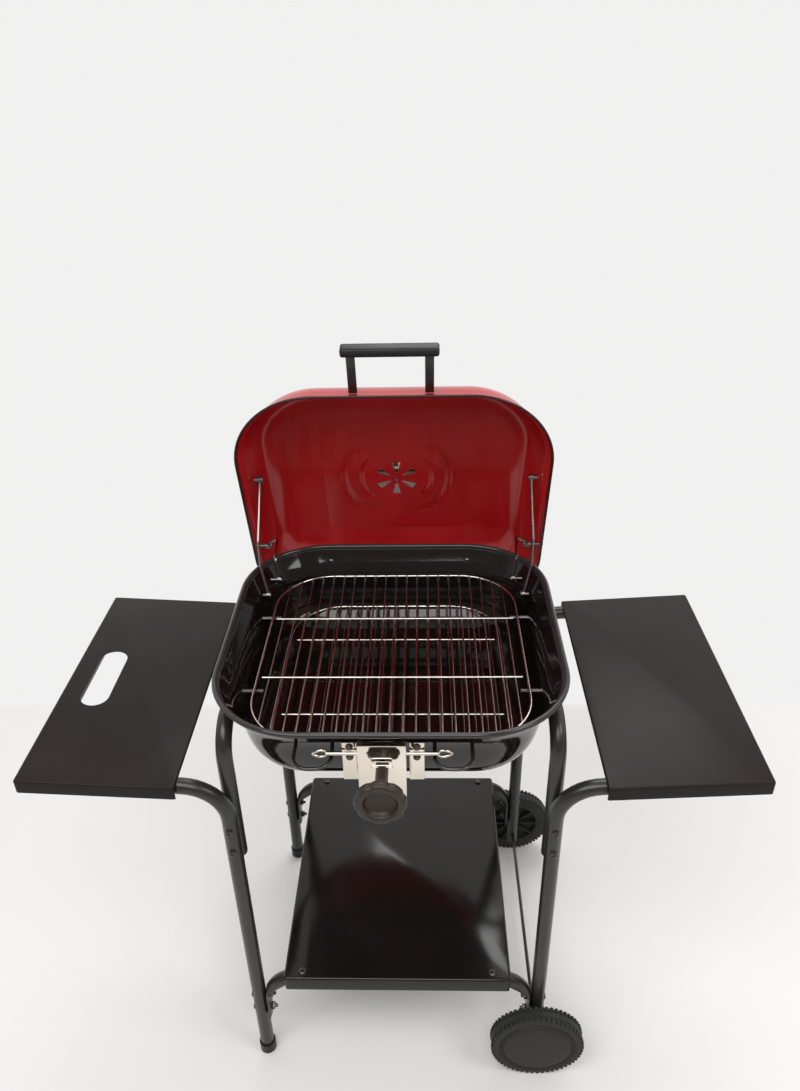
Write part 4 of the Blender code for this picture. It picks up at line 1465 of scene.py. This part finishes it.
@dataclass
class Wheel:
    """A ribbed wheel with notched shoulders, spokes inside and a domed cap outside.

    Attributes:
        tools: The shared node trees.
        end: "front" or "rear".
        lugs: Notches round each shoulder.
        ribs: Ribs round the side wall.
        spokes: Spokes on the inner side.
        tread_drop: How far the tread lies inside the lugs' tops.
        bore: Radius of the hole for the axle.
        cap_rise: Height of the cap's dome.
    """

    tools: Tools
    end: str
    lugs: int = 54
    ribs: int = 72
    spokes: int = 10
    tread_drop: float = 0.0022
    bore: float = 0.0034
    cap_rise: float = 0.0038

    def build(self) -> None:
        """Make the wheel and its cap."""
        node = f"wheel_{self.end}"
        low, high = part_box(node)
        way = -1.0 if self.end == "front" else 1.0
        inner_y = high.y if way < 0 else low.y
        centre = Vector(((low.x + high.x) / 2.0, inner_y, (low.z + high.z) / 2.0))
        radius, width = (high.z - low.z) / 2.0, high.y - low.y
        axis = Vector((0.0, way, 0.0))
        self._body(node, centre, axis, radius, width)
        self._cap(centre, axis, width)

    def _body(self, node: str, centre: Vector, axis: Vector, radius: float, width: float) -> None:
        """Tyre, web and hub, with lugs, ribs and spokes.

        Args:
            node: The frame node that the wheel replaces.
            centre: Middle of its inner side.
            axis: Direction from its inner to its outer side.
            radius: Its radius over the lugs.
            width: Its width.
        """
        body = f"{self.end}_wheel"
        tread = radius - self.tread_drop
        hub = [(self.bore, 0.0), (0.013, 0.0), (0.0145, 0.0015), (0.0145, 0.008), (0.016, 0.0095),
               (0.044, 0.0105), (0.0475, 0.009), (0.0495, 0.001), (0.052, 0.0)]
        tyre = [(tread - 0.005, 0.0), (tread - 0.0015, 0.0012), (tread, 0.004), (tread, 0.0085),
                (tread + 0.0012, 0.0095), (tread + 0.0012, width - 0.0095), (tread, width - 0.0085),
                (tread, width - 0.004), (tread - 0.0015, width - 0.0012), (tread - 0.005, width),
                (tread - 0.008, width - 0.0006)]
        web = [(0.0575, width - 0.0022), (0.0562, width - 0.0004), (0.0548, width - 0.0002),
               (0.0543, width - 0.002), (0.0543, width - 0.004), (self.bore, width - 0.004)]
        profile = hub + tyre + web
        core = to_object(f"{node}_core", turned(profile, 108, centre, axis))
        settle(core, body, WHEEL_PLASTIC, [node], 28.0)
        way = axis.y
        lug_low, lug_high = (tread - 0.0035, 0.0, -0.0026), (radius, 0.0068, 0.0026)
        for name, start in (("inner", 0.0006), ("outer", width - 0.0074)):
            ys = sorted((way * start, way * (start + lug_high[1])))
            lug = to_object("lug", box((lug_low[0], ys[0], lug_low[2]),
                                       (lug_high[0], ys[1], lug_high[2])))
            soften(lug, 0.0012)
            ring = self.tools.ring_of(f"{node}_{name}_lugs", lug, self.lugs, centre, WHEEL_PLASTIC)
            settle(ring, body, WHEEL_PLASTIC)
        ys = sorted((way * (width - 0.004), way * (width - 0.0008)))
        rib = to_object("rib", box((0.0578, ys[0], -0.0009), (tread - 0.0058, ys[1], 0.0009)))
        soften(rib, 0.0006)
        ribs = self.tools.ring_of(f"{node}_ribs", rib, self.ribs, centre, WHEEL_PLASTIC)
        settle(ribs, body, WHEEL_PLASTIC)
        ys = sorted((way * 0.0015, way * 0.011))
        spoke = to_object("spoke", box((0.0138, ys[0], -0.0017), (0.0492, ys[1], 0.0017)))
        soften(spoke, 0.0006)
        spokes = self.tools.ring_of(f"{node}_spokes", spoke, self.spokes, centre, WHEEL_PLASTIC)
        settle(spokes, body, WHEEL_PLASTIC)

    def _cap(self, centre: Vector, axis: Vector, width: float) -> None:
        """The smooth domed cap.

        Args:
            centre: Middle of the wheel's inner side.
            axis: Direction from its inner to its outer side.
            width: The wheel's width.
        """
        node = f"hub_cap_{self.end}"
        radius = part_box(node)[1].z - centre.z
        chain = [(radius - 0.001, width - 0.0036), (radius, width - 0.0026), (radius, width - 0.0004),
                 (radius - 0.0012, width + 0.0006)]
        chain += [(radius * s, width + 0.0012 + self.cap_rise * (1.0 - s * s))
                  for s in (0.94, 0.8, 0.6, 0.4, 0.2, 0.03)]
        turns = [FULL_TURN * step / 72 for step in range(72)]
        rings = [[centre + axis * along + Vector((r * math.cos(a), 0.0, r * math.sin(a)))
                  for a in turns] for r, along in chain]
        settle(to_object(f"{node}_dome", loft(rings)), f"{self.end}_wheel", WHEEL_PLASTIC, [node])


# ---------------------------------------------------------------- bowl and lid


@dataclass
class Dish:
    """A pressed sheet dish: rounded rectangle in plan, with a rolled edge.

    Attributes:
        half_x: Half its width at the rim.
        half_y: Half its depth at the rim.
        corner: Corner radius at the rim.
        profile: Outer skin from the rim inwards, as (inset, distance from the rim plane).
        bead_r: Radius of the rolled edge.
        sheet: Thickness.
        floor_rings: Rings across the flat floor.
        floor_hole: Radius of the last ring, which a flat face closes.
        arc_steps: Steps round each corner.
        side_steps: Steps along each side.
    """

    half_x: float
    half_y: float
    corner: float
    profile: Chain
    bead_r: float
    sheet: float = 0.0015
    floor_rings: int = 10
    floor_hole: float = 0.006
    arc_steps: int = 18
    side_steps: int = 10

    def _ring(self, inset: float) -> Chain:
        """The outline at an inset from the rim."""
        return outline(self.half_x - inset, self.half_y - inset, max(self.corner - inset, 0.001),
                       self.arc_steps, self.side_steps)

    def _floor(self, start: float, depth: float, relief: Relief) -> list[list[Vector]]:
        """Rings from the floor's edge to its middle.

        Args:
            start: Inset of the floor's edge from the rim.
            depth: Its distance from the rim plane.
            relief: Extra depth at a point.

        Returns:
            The rings, from the edge inwards.
        """
        edge = self._ring(start)
        rings = []
        for step in range(1, self.floor_rings + 1):
            share = step / self.floor_rings
            ring = []
            for x, y in edge:
                length = math.hypot(x, y)
                px = x * (1.0 - share) + self.floor_hole * x / length * share
                py = y * (1.0 - share) + self.floor_hole * y / length * share
                ring.append(Vector((px, py, depth + relief(px, py))))
            rings.append(ring)
        return rings

    def mesh(self, name: str, place: Place, relief: Relief = lambda x, y: 0.0) -> bpy.types.Object:
        """Make the dish.

        Args:
            name: The object's name.
            place: Turns a point of (x, y, distance from the rim plane) into a world point.
            relief: Extra depth of the floor at a point.

        Returns:
            The object.
        """
        outer = chaikin(self.profile, 3)
        inner = offset(outer, -self.sheet)
        bead = []
        for step in range(11):
            angle = math.radians(-30.0 + 235.0 * step / 10.0)
            bead.append((self.bead_r * (1.0 + math.cos(angle)), self.bead_r * (1.0 - math.sin(angle))))
        rings = list(reversed(self._floor(*inner[-1], relief)))
        for inset, depth in list(reversed(inner)) + bead + outer:
            rings.append([Vector((x, y, depth)) for x, y in self._ring(inset)])
        rings.extend(self._floor(*outer[-1], relief))
        placed = [[place(*point) for point in ring] for ring in rings]
        dish = to_object(name, loft(placed))
        # The "edge" band along the rolled rim carries a tint: a painted highlight on the bowl and a dark
        # red line on the lid.
        edge = dish.data.attributes.new("edge", "FLOAT", "POINT")
        marks = [float(point.z < self.bead_r * 1.6) for ring in rings for point in ring]
        edge.data.foreach_set("value", marks)
        return dish


@dataclass(frozen=True)
class Grate:
    """Sizes of a wire grate that aren't in the frame.

    Attributes:
        node: The frame node that it replaces, which is also its body's name.
        corner: Corner radius.
        wires: Number of wires from front to back.
        cross_x: Half length of the wires across.
        cross_y: Their distance from the middle.
        wire_r: Radius of the wires.
        frame_r: Radius of the frame's wire.
    """

    node: str
    corner: float
    wires: int
    cross_x: float
    cross_y: float
    wire_r: float = 0.0015
    frame_r: float = 0.0019


@dataclass
class Bowl:
    """The black enamelled bowl, its grates and the screws in its walls.

    Attributes:
        tools: The shared node trees.
        screws: The screw heads.
        corner: Corner radius at the rim.
        bead_r: Radius of the rolled rim.
        rim_lift: How far the rim stands over the frame's rim.
        grates: The cooking grate and the charcoal grate.
        wall_screws_x: Places of the screws in the rear wall.
        wall_screws_z: Their height.
        profile: Outer skin from the rim inwards, as (inset, distance from the rim plane).
    """

    tools: Tools
    screws: Screws
    corner: float = 0.130
    bead_r: float = 0.004
    rim_lift: float = 0.0007
    grates: tuple[Grate, ...] = (Grate("cooking_grate", 0.088, 21, 0.1825, 0.071),
                                 Grate("charcoal_grate", 0.080, 19, 0.157, 0.088))
    wall_screws_x: tuple[float, float] = (-0.110, 0.118)
    wall_screws_z: float = 0.706
    profile: tuple[tuple[float, float], ...] = (
        (0.0085, 0.0068), (0.0150, 0.0180), (0.0235, 0.0310), (0.0300, 0.0490), (0.0355, 0.0810),
        (0.0410, 0.0990), (0.0530, 0.1140), (0.0740, 0.1280), (0.1030, 0.1380), (0.1150, 0.1383))

    def build(self) -> None:
        """Make the bowl, both grates and the wall screws."""
        low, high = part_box("bowl")
        top = high.z + self.rim_lift
        deepest = self.profile[-1][1]
        shift = (top - low.z) - deepest
        profile = [(inset, depth + shift * (depth / deepest)) for inset, depth in self.profile]
        dish = Dish(high.x, high.y, self.corner, profile, self.bead_r)
        bowl = dish.mesh("bowl_shell", lambda x, y, z: Vector((x, y, top - z)))
        settle(bowl, "trolley", BLACK_ENAMEL, ["bowl"], 60.0)
        for grate in self.grates:
            self._grate(grate)
        z = self.wall_screws_z
        inside = [((x, high.y - 0.0190, z), (0.0, -1.0, 0.25)) for x in self.wall_screws_x]
        self.screws.place("bowl_rear_screws", Head.DOME, inside, "trolley", finish=STAY_STEEL)
        outside = [((x, high.y - 0.0176, z), (0.0, 1.0, -0.3)) for x in self.wall_screws_x]
        self.screws.place("bowl_rear_nuts", Head.HEX, outside, "trolley", finish=STAY_STEEL)
        for part, ends in (("bolt", ("front", "rear")), ("pin", ("long", "short"))):
            dress([f"bowl_{part}_{end}_{side}" for end in ends for side in ("left", "right")],
                  STAY_STEEL)

    def _grate(self, grate: Grate) -> None:
        """A wire grate in place of a frame node.

        Args:
            grate: Its sizes.
        """
        low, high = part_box(grate.node)
        obj = link_mesh(f"{grate.node}_wires", bpy.data.meshes.new(grate.node))
        self.tools.grate.apply(obj, GRATE_STEEL, Half_X=high.x - grate.frame_r,
                               Half_Y=high.y - grate.frame_r, Corner=grate.corner,
                               Height=low.z + grate.frame_r, Wires=grate.wires,
                               Wire_Radius=grate.wire_r, Frame_Radius=grate.frame_r,
                               Cross_X=grate.cross_x, Cross_Y=grate.cross_y)
        settle(obj, grate.node, GRATE_STEEL, [grate.node], 50.0)


@dataclass
class Lid:
    """The red enamelled lid with its vent, damper, handle and stays.

    Attributes:
        tools: The shared node trees.
        screws: The screw heads.
        half_x: Half its width at the rim.
        half_y: Half its length at the rim.
        corner: Corner radius at the rim.
        bead_r: Radius of its edge.
        vent_r: Outer radius of the vent's slots.
        vent_hub_r: Inner radius of the vent's slots.
        slots: Number of slots.
        slot_spread: Half the slots' angle at their inner and outer ends.
        band_in: Radii of the inner pressed band and its reach in degrees.
        band_out: Radii of the outer pressed band and its reach in degrees.
        press: Depth of the pressed bands.
        post_reach: Ends of the handle's posts, from the lid's rear edge.
        post_depth: The posts' depths behind the rim.
        grip_reach: The grip's front and back, from the lid's rear edge.
        grip_depth: The grip's depths behind the rim.
        post_screw: Place of the posts' screws, from the rear edge and behind the rim.
        profile: Outer skin from the rim inwards, as (inset, distance from the rim plane).
    """

    tools: Tools
    screws: Screws
    half_x: float = 0.246
    half_y: float = 0.239
    corner: float = 0.133
    bead_r: float = 0.002
    vent_r: float = 0.036
    vent_hub_r: float = 0.011
    slots: int = 6
    slot_spread: tuple[float, float] = (0.17, 0.20)
    band_in: tuple[float, float, float] = (0.056, 0.063, 46.0)
    band_out: tuple[float, float, float] = (0.084, 0.095, 58.0)
    press: float = 0.0016
    post_reach: tuple[float, float] = (0.466, 0.531)
    post_depth: tuple[float, float] = (0.0235, 0.0265)
    grip_reach: tuple[float, float] = (0.5313, 0.545)
    grip_depth: tuple[float, float] = (0.015, 0.035)
    post_screw: tuple[float, float] = (0.471, 0.0268)
    profile: tuple[tuple[float, float], ...] = (
        (0.0035, 0.0040), (0.0035, 0.0095), (0.0090, 0.0115), (0.0128, 0.0250), (0.0170, 0.0400),
        (0.0250, 0.0580), (0.0370, 0.0720), (0.0570, 0.0835), (0.0850, 0.0900), (0.1200, 0.0930),
        (0.1260, 0.0930))

    def __post_init__(self) -> None:
        """Take the lid's own directions from the frame's damper joint."""
        damper = joint("vent_damper")
        self.centre = Vector(damper["pos_m"])
        self.out = Vector(damper["axis"]).normalized()
        self.up = Vector((0.0, -self.out.z, self.out.y))
        self.crown = self.profile[-1][1]

    def place(self, x: float, y: float, depth: float) -> Vector:
        """World point of a point on the lid.

        Args:
            x: Distance across it.
            y: Distance from its middle towards its front edge.
            depth: Distance behind its rim.

        Returns:
            The world point.
        """
        return self.centre + Vector((x, 0.0, 0.0)) + self.up * y + self.out * (depth - self.crown)

    def _relief(self, x: float, y: float) -> float:
        """Extra depth of the pressed bands, which are open at the top and bottom.

        Args:
            x: Distance across the lid.
            y: Distance along it.

        Returns:
            The extra depth.
        """
        radius = math.hypot(x, y)
        lean = abs(math.degrees(math.atan2(y, abs(x))))
        total = 0.0
        for inner, outer, reach in (self.band_in, self.band_out):
            across = min(radius - inner, outer - radius) / 0.0022
            along = (reach - lean) / 4.0
            total += self.press * max(0.0, min(1.0, across)) * max(0.0, min(1.0, along))
        return total

    def build(self) -> None:
        """Make the lid and all that is on it."""
        dish = Dish(self.half_x, self.half_y, self.corner, list(self.profile), self.bead_r,
                    floor_rings=72, arc_steps=20, side_steps=12)
        lid = dish.mesh("lid_shell", self.place, self._relief)
        self._vent(lid)
        settle(lid, "lid", RED_ENAMEL, ["lid"], 60.0)
        dress(["lid_damper", "damper_rivet"], CHROME)
        self._handle()
        self._stays()

    def _vent(self, lid: bpy.types.Object) -> None:
        """Cut the vent's slots.

        Args:
            lid: The lid's shell.
        """
        inner, outer = self.slot_spread
        arcs = ((self.vent_hub_r, inner, (-1.0, 0.0, 1.0)),
                (self.vent_r, outer, (1.0, 0.5, 0.0, -0.5, -1.0)))
        cutter = bmesh.new()
        for slot in range(self.slots):
            middle = FULL_TURN * slot / self.slots + math.pi / 2.0
            rings = []
            for depth in (self.crown - 0.02, self.crown + 0.02):
                ring = []
                for radius, spread, steps in arcs:
                    for angle in (middle + step * spread for step in steps):
                        ring.append(self.place(radius * math.cos(angle), radius * math.sin(angle),
                                               depth))
                rings.append(ring)
            loft(rings, into=cutter)
        boolean(lid, cutter, "DIFFERENCE")

    def _handle(self) -> None:
        """Flat posts and a rounded grip bar."""
        for side in ("left", "right"):
            node = f"handle_post_{side}"
            low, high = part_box(node)
            post = self._bar(node, (low.x, high.x), self.post_reach, self.post_depth)
            soften(post, 0.0007)
            settle(post, "lid", TUBE_PAINT, [node])
        low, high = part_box("handle_grip")
        grip = self._bar("handle_grip", (low.x, high.x), self.grip_reach, self.grip_depth)
        soften(grip, 0.0042, 4)
        settle(grip, "lid", GRIP_PLASTIC, ["handle_grip"], 60.0)
        reach, depth = self.post_screw
        feet = []
        for side in ("left", "right"):
            x = centre_of(f"handle_post_{side}").x
            feet.append((self.place(x, reach - self.half_y, depth), self.out))
        self.screws.place("handle_screws", Head.DOME, feet, "lid")

    def _bar(self, node: str, across: tuple[float, float], reach: tuple[float, float],
             depths: tuple[float, float]) -> bpy.types.Object:
        """A square bar on the lid.

        Args:
            node: The frame node that it stands for.
            across: Its ends along X.
            reach: Its ends, from the lid's rear edge.
            depths: Its depths behind the rim.

        Returns:
            The bar.
        """
        (left, right), (low, high) = across, depths
        rings = []
        for y in (distance - self.half_y for distance in reach):
            rings.append([self.place(left, y, low), self.place(right, y, low),
                          self.place(right, y, high), self.place(left, y, high)])
        return to_object(f"{node}_bar", loft(rings))

    def _stays(self) -> None:
        """Finish of the stays and pins, with heads that close the short stays' eyes."""
        sides = (("left", -1.0), ("right", 1.0))
        dress([f"{kind}_stay_{side}" for kind in ("long", "short") for side, _ in sides], STAY_STEEL)
        dress([f"lid_pin_{kind}_{side}" for kind in ("long", "short") for side, _ in sides], SCREW_STEEL)
        caps, nuts = [], []
        for side, sign in sides:
            low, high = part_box(f"lid_pin_short_{side}")
            mid = (low + high) / 2.0
            inner = (low.x if sign > 0 else high.x) - sign * 0.0053
            caps.append(((inner, mid.y, mid.z), (-sign, 0.0, 0.0)))
            for kind in ("short", "long"):
                low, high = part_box(f"lid_pin_{kind}_{side}")
                outer = high.x if sign > 0 else low.x
                spot = (low + high) / 2.0
                nuts.append(((outer - sign * 0.0035, spot.y, spot.z), (sign, 0.0, 0.0)))
        self.screws.place("short_stay_caps", Head.DOME, caps, "short_stays", finish=STAY_STEEL)
        self.screws.place("lid_stay_heads", Head.DOME, nuts, "lid")


# ---------------------------------------------------------------- clamp set


@dataclass
class Clamp:
    """The clamp set on the bowl's front: plate, knob, strips, rod and hooks.

    Attributes:
        tools: The shared node trees.
        screws: The screw heads.
        plate_t: Thickness of the plate.
        slot_z: Height of the plate's slot.
        slot_half: Half length and half height of the slot.
        rod_r: Radius of the rod.
        eye: Half length, half height and wire radius of the rod's eyes.
        hook_r: Radius of the hooks' wire.
        hook_bend: Bend radius of the hooks.
        strip_drops: Distances of the strips' screws from their top.
        lobes: Lobes of the knob.
        lobe_dip: Depth of the hollows between the lobes, as a share of the radius.
        knob_r: Radius at which the knob's outline below is given.
    """

    tools: Tools
    screws: Screws
    plate_t: float = 0.0015
    slot_z: float = 0.6935
    slot_half: tuple[float, float] = (0.0125, 0.0024)
    rod_r: float = 0.0024
    eye: tuple[float, float, float] = (0.0085, 0.0050, 0.0018)
    hook_r: float = 0.0026
    hook_bend: float = 0.020
    strip_drops: tuple[float, float] = (0.006, 0.0225)
    lobes: int = 8
    lobe_dip: float = 0.062
    knob_r: float = 0.032

    def build(self) -> None:
        """Make every piece of the set."""
        self._plate()
        self._strips()
        self._rod()
        self._hooks()
        self._knob()
        dress(["knob_screw"], CHROME)

    def _plate(self) -> None:
        """Channel-shaped plate with its sides turned back and a slot near the top."""
        low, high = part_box("clamp_plate")
        plate = to_object("clamp_plate_channel", box(low, high))
        boolean(plate, box((low.x + self.plate_t, low.y + self.plate_t, low.z - 0.01),
                           (high.x - self.plate_t, high.y + 0.01, high.z - self.plate_t)), "DIFFERENCE")
        soften(plate, 0.0006, 2)
        x = (low.x + high.x) / 2.0
        half_w, half_h = self.slot_half
        ring = outline(half_w, half_h, half_h * 0.99, 6)
        rings = [[Vector((x + px, y, self.slot_z + pz)) for px, pz in ring]
                 for y in (low.y - 0.005, low.y + 0.005)]
        boolean(plate, loft(rings), "DIFFERENCE")
        settle(plate, "trolley", CHROME, ["clamp_plate"], 30.0)
        rim = outline(half_w + 0.0004, half_h + 0.0004, half_h, 8)
        for name, drop, wide, tall in (("slot_collar", 0.0, 1.0, 1.0),
                                       ("lower_bead", 0.0105, 1.05, 0.45)):
            loop = [Vector((x + px * wide, low.y - 0.0002, self.slot_z - drop + pz * tall))
                    for px, pz in rim]
            settle(ring_wire(f"clamp_{name}", loop, 0.0007), "trolley", CHROME, sharp_deg=60.0)

    def _strips(self) -> None:
        """Two flat strips, each with two domed screws."""
        seats = []
        for side in ("left", "right"):
            node = f"clamp_strip_{side}"
            low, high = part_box(node)
            strip = to_object(f"{node}_plate", box(low, high))
            soften(strip, 0.0006, 2)
            settle(strip, "trolley", CHROME, [node], 30.0)
            x = (low.x + high.x) / 2.0
            for drop in self.strip_drops:
                seats.append(((x, low.y, high.z - drop), (0.0, -1.0, 0.0)))
        self.screws.place("strip_screws", Head.DOME, seats, "trolley")

    def _rod(self) -> None:
        """Bright rod with an eye at each end."""
        low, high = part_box("clamp_rod")
        z = (low.z + high.z) / 2.0
        y = low.y + self.rod_r
        x0, x1 = low.x + 0.005, high.x - 0.005
        rod = self.tools.tube("clamp_rod_bar", ((x0 + 0.014, y, z), (x1 - 0.014, y, z)), (),
                              self.rod_r, CHROME, 14)
        settle(rod, "trolley", CHROME, ["clamp_rod"], 50.0)
        half_length, half_height, wire_r = self.eye
        for name, x, way in (("left", x0, -1.0), ("right", x1, 1.0)):
            loop = []
            for step in range(40):
                angle = FULL_TURN * step / 40
                along, across = math.cos(angle), math.sin(angle)
                loop.append(Vector((x + way * (half_length * along - 0.006), y + 0.0004 * way * along,
                                    z + half_height * across * (1.0 - 0.35 * along))))
            settle(ring_wire(f"clamp_eye_{name}", loop, wire_r), "trolley", CHROME, sharp_deg=60.0)

    def _hooks(self) -> None:
        """Dark wire hooks that stand out from the bowl's wall."""
        for side in ("left", "right"):
            node = f"front_hook_{side}"
            low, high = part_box(node)
            z = (low.z + high.z) / 2.0
            x0, x1 = low.x + self.hook_r, high.x - self.hook_r
            y0, y1 = low.y + self.hook_r, high.y
            corners = ((x0, y1, z), (x0, y0, z), (x1, y0, z), (x1, y1, z))
            hook = self.tools.tube(f"{node}_wire", corners, (self.hook_bend, self.hook_bend),
                                   self.hook_r, SCREW_STEEL, 14, 12)
            settle(hook, "trolley", SCREW_STEEL, [node], 50.0)

    def _knob(self) -> None:
        """Lobed knob with a dished face."""
        low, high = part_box("knob")
        centre = Vector(((low.x + high.x) / 2.0, low.y, (low.z + high.z) / 2.0))
        radius, deep = (high.x - low.x) / 2.0, high.y - low.y
        stem = [(deep, 0.0070, 0.0), (deep - 0.001, 0.0080, 0.0), (0.026, 0.0080, 0.0),
                (0.0225, 0.0088, 0.0), (0.0200, 0.0115, 0.0)]
        back = [(0.0175, 0.0160, 0.1), (0.0155, 0.0215, 0.4), (0.0140, 0.0270, 0.8)]
        rim = [(0.0125, 0.0302, 1.0), (0.0100, 0.0318, 1.0), (0.0050, 0.0320, 1.0),
               (0.0022, 0.0312, 1.0), (0.0006, 0.0296, 1.0), (0.0, 0.0276, 0.9), (0.0, 0.0240, 0.3)]
        face = [(0.0006, 0.0220, 0.0), (0.0030, 0.0205, 0.0), (0.0070, 0.0195, 0.0),
                (0.0092, 0.0170, 0.0), (0.0098, 0.0100, 0.0), (0.0098, 0.0020, 0.0)]
        rings = []
        for along, reach, lobe in stem + back + rim + face:
            ring = []
            for step in range(128):
                angle = FULL_TURN * step / 128
                dip = 0.5 * (1.0 - math.cos(self.lobes * angle))
                r = reach * radius / self.knob_r * (1.0 - self.lobe_dip * lobe * dip ** 4)
                ring.append(centre + Vector((r * math.cos(angle), along, r * math.sin(angle))))
            rings.append(ring)
        settle(to_object("knob_body", loft(rings)), "knob", KNOB_PLASTIC, ["knob"], 50.0)


# ---------------------------------------------------------------- studio


@dataclass
class Studio:
    """Floor, light and camera.

    Attributes:
        spot: The camera's place.
        pitch_deg: How far it looks down.
        yaw_deg: How far it is turned to the right.
        roll_deg: How far it is tilted.
        lens_mm: Its lens on a 36 mm high sensor.
        floor_reach: Half the floor's width.
        back_y: Where the floor's tone changes to the backdrop's.
        backdrop: The backdrop's tone.
        white: Light from behind and above.
        room: Light from in front.
    """

    spot: tuple[float, float, float] = (0.0479, -1.0020, 1.4438)
    pitch_deg: float = 30.227
    yaw_deg: float = -1.964
    roll_deg: float = -1.361
    lens_mm: float = 27.93
    floor_reach: float = 30.0
    back_y: float = 0.657
    backdrop: Colour = (0.875, 0.875, 0.872)
    white: Colour = (0.92, 0.92, 0.92)
    room: Colour = (0.29, 0.25, 0.215)

    def build(self) -> None:
        """Make the floor, the lights and the camera."""
        self._floor()
        self._world()
        self._lamp("key_panel", (-0.5, -1.4, 2.7), (0.0, 0.0, 0.6), (2.3, 1.2), 44.0)
        self._lamp("fill_panel", (1.5, -0.9, 2.3), (0.0, 0.0, 0.6), (0.9, 0.9), 14.0)
        self._lamp("back_panel", (0.3, 1.6, 2.8), (0.0, 0.2, 0.6), (1.6, 0.8), 20.0)
        self._camera()

    def _floor(self) -> None:
        """Pale floor that turns into an even backdrop tone behind the grill and far away."""
        bm = bmesh.new()
        reach = self.floor_reach
        bm.faces.new([bm.verts.new((x * reach, y * reach, 0.0))
                      for x, y in ((-1, -1), (1, -1), (1, 1), (-1, 1))])
        floor = to_object("studio_floor", bm, False)
        material = bpy.data.materials.new("studio_floor_paint")
        material.use_nodes = True
        graph = Graph(material.node_tree)
        shader = material.node_tree.nodes["Principled BSDF"]
        place = graph.node("ShaderNodeTexCoord").outputs["Object"]
        parts = graph.node("ShaderNodeSeparateXYZ", None, {"Vector": place})
        x, y = Value(graph, parts.outputs["X"]), Value(graph, parts.outputs["Y"])
        back = y.step(self.back_y - 0.01, self.back_y + 0.02)
        glow = back.at_least((x * x + y * y).root().step(1.6, 3.2))
        cloud = graph.noise(place, 1.5, 2.0)
        tone = graph.blend(cloud, (0.80, 0.80, 0.802, 1.0), (0.82, 0.82, 0.821, 1.0))
        graph.feed(shader.inputs["Base Color"], graph.blend(glow, tone, BLACK))
        graph.feed(shader.inputs["Emission Color"], graph.blend(glow, BLACK, _rgba(self.backdrop)))
        graph.feed(shader.inputs["Roughness"], glow * 0.5 + 0.45)
        shader.inputs["Emission Strength"].default_value = 1.0
        shader.inputs["Specular IOR Level"].default_value = 0.0
        floor.data.materials.append(material)

    def _world(self) -> None:
        """White light from behind and above, a dimmer warm room in front, an even backdrop."""
        world = bpy.data.worlds.new("studio_light")
        world.use_nodes = True
        graph = Graph(world.node_tree)
        background = world.node_tree.nodes["Background"]
        aim = graph.node("ShaderNodeTexCoord").outputs["Generated"]
        parts = graph.node("ShaderNodeSeparateXYZ", None, {"Vector": aim})
        back = Value(graph, parts.outputs["Y"]).step(-0.45, 0.25)
        lit = graph.blend(back, _rgba(self.room), _rgba(self.white))
        seen = graph.node("ShaderNodeLightPath").outputs["Is Camera Ray"]
        graph.feed(background.inputs["Color"], graph.blend(Value(graph, seen), lit, _rgba(self.backdrop)))
        bpy.context.scene.world = world
        bpy.context.scene.view_settings.view_transform = "Standard"

    def _lamp(self, name: str, spot: Sequence[float], target: Sequence[float], size: tuple[float, float],
              watts: float) -> None:
        """A soft rectangular lamp.

        Args:
            name: Its name.
            spot: Where it hangs.
            target: What it faces.
            size: Its width and height.
            watts: Its power.
        """
        data = bpy.data.lights.new(name, "AREA")
        data.shape = "RECTANGLE"
        data.size, data.size_y = size
        data.energy = watts
        lamp = bpy.data.objects.new(name, data)
        lamp.location = spot
        lamp.rotation_euler = (Vector(target) - Vector(spot)).to_track_quat("-Z", "Y").to_euler()
        bpy.context.scene.collection.objects.link(lamp)

    def _camera(self) -> None:
        """Camera at the viewing angle of the set."""
        pitch, yaw, roll = (math.radians(a) for a in (self.pitch_deg, self.yaw_deg, self.roll_deg))
        ahead = Vector((math.sin(yaw) * math.cos(pitch), math.cos(yaw) * math.cos(pitch), -math.sin(pitch)))
        level = Vector((math.cos(yaw), -math.sin(yaw), 0.0))
        rise = level.cross(ahead)
        right = level * math.cos(roll) + rise * math.sin(roll)
        up = rise * math.cos(roll) - level * math.sin(roll)
        data = bpy.data.cameras.new("studio_camera")
        data.sensor_fit = "VERTICAL"
        data.sensor_height = 36.0
        data.lens = self.lens_mm
        camera = bpy.data.objects.new("studio_camera", data)
        turn = Matrix((right, up, -ahead)).transposed()
        camera.matrix_world = Matrix.Translation(Vector(self.spot)) @ turn.to_4x4()
        bpy.context.scene.collection.objects.link(camera)
        bpy.context.scene.camera = camera


def main() -> None:
    """Build every sub-assembly in order."""
    logging.basicConfig(level=logging.INFO, format="%(name)s: %(message)s")
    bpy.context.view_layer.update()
    tools = Tools()
    screws = Screws(tools)
    Trolley(tools, screws).build()
    Tops(tools, screws).build()
    for end in ("front", "rear"):
        Wheel(tools, end).build()
    dress(["axle"], SCREW_STEEL)
    Bowl(tools, screws).build()
    Lid(tools, screws).build()
    Clamp(tools, screws).build()
    screws.clear()
    Studio().build()
    bpy.context.view_layer.update()


if __name__ == "__main__":
    main()
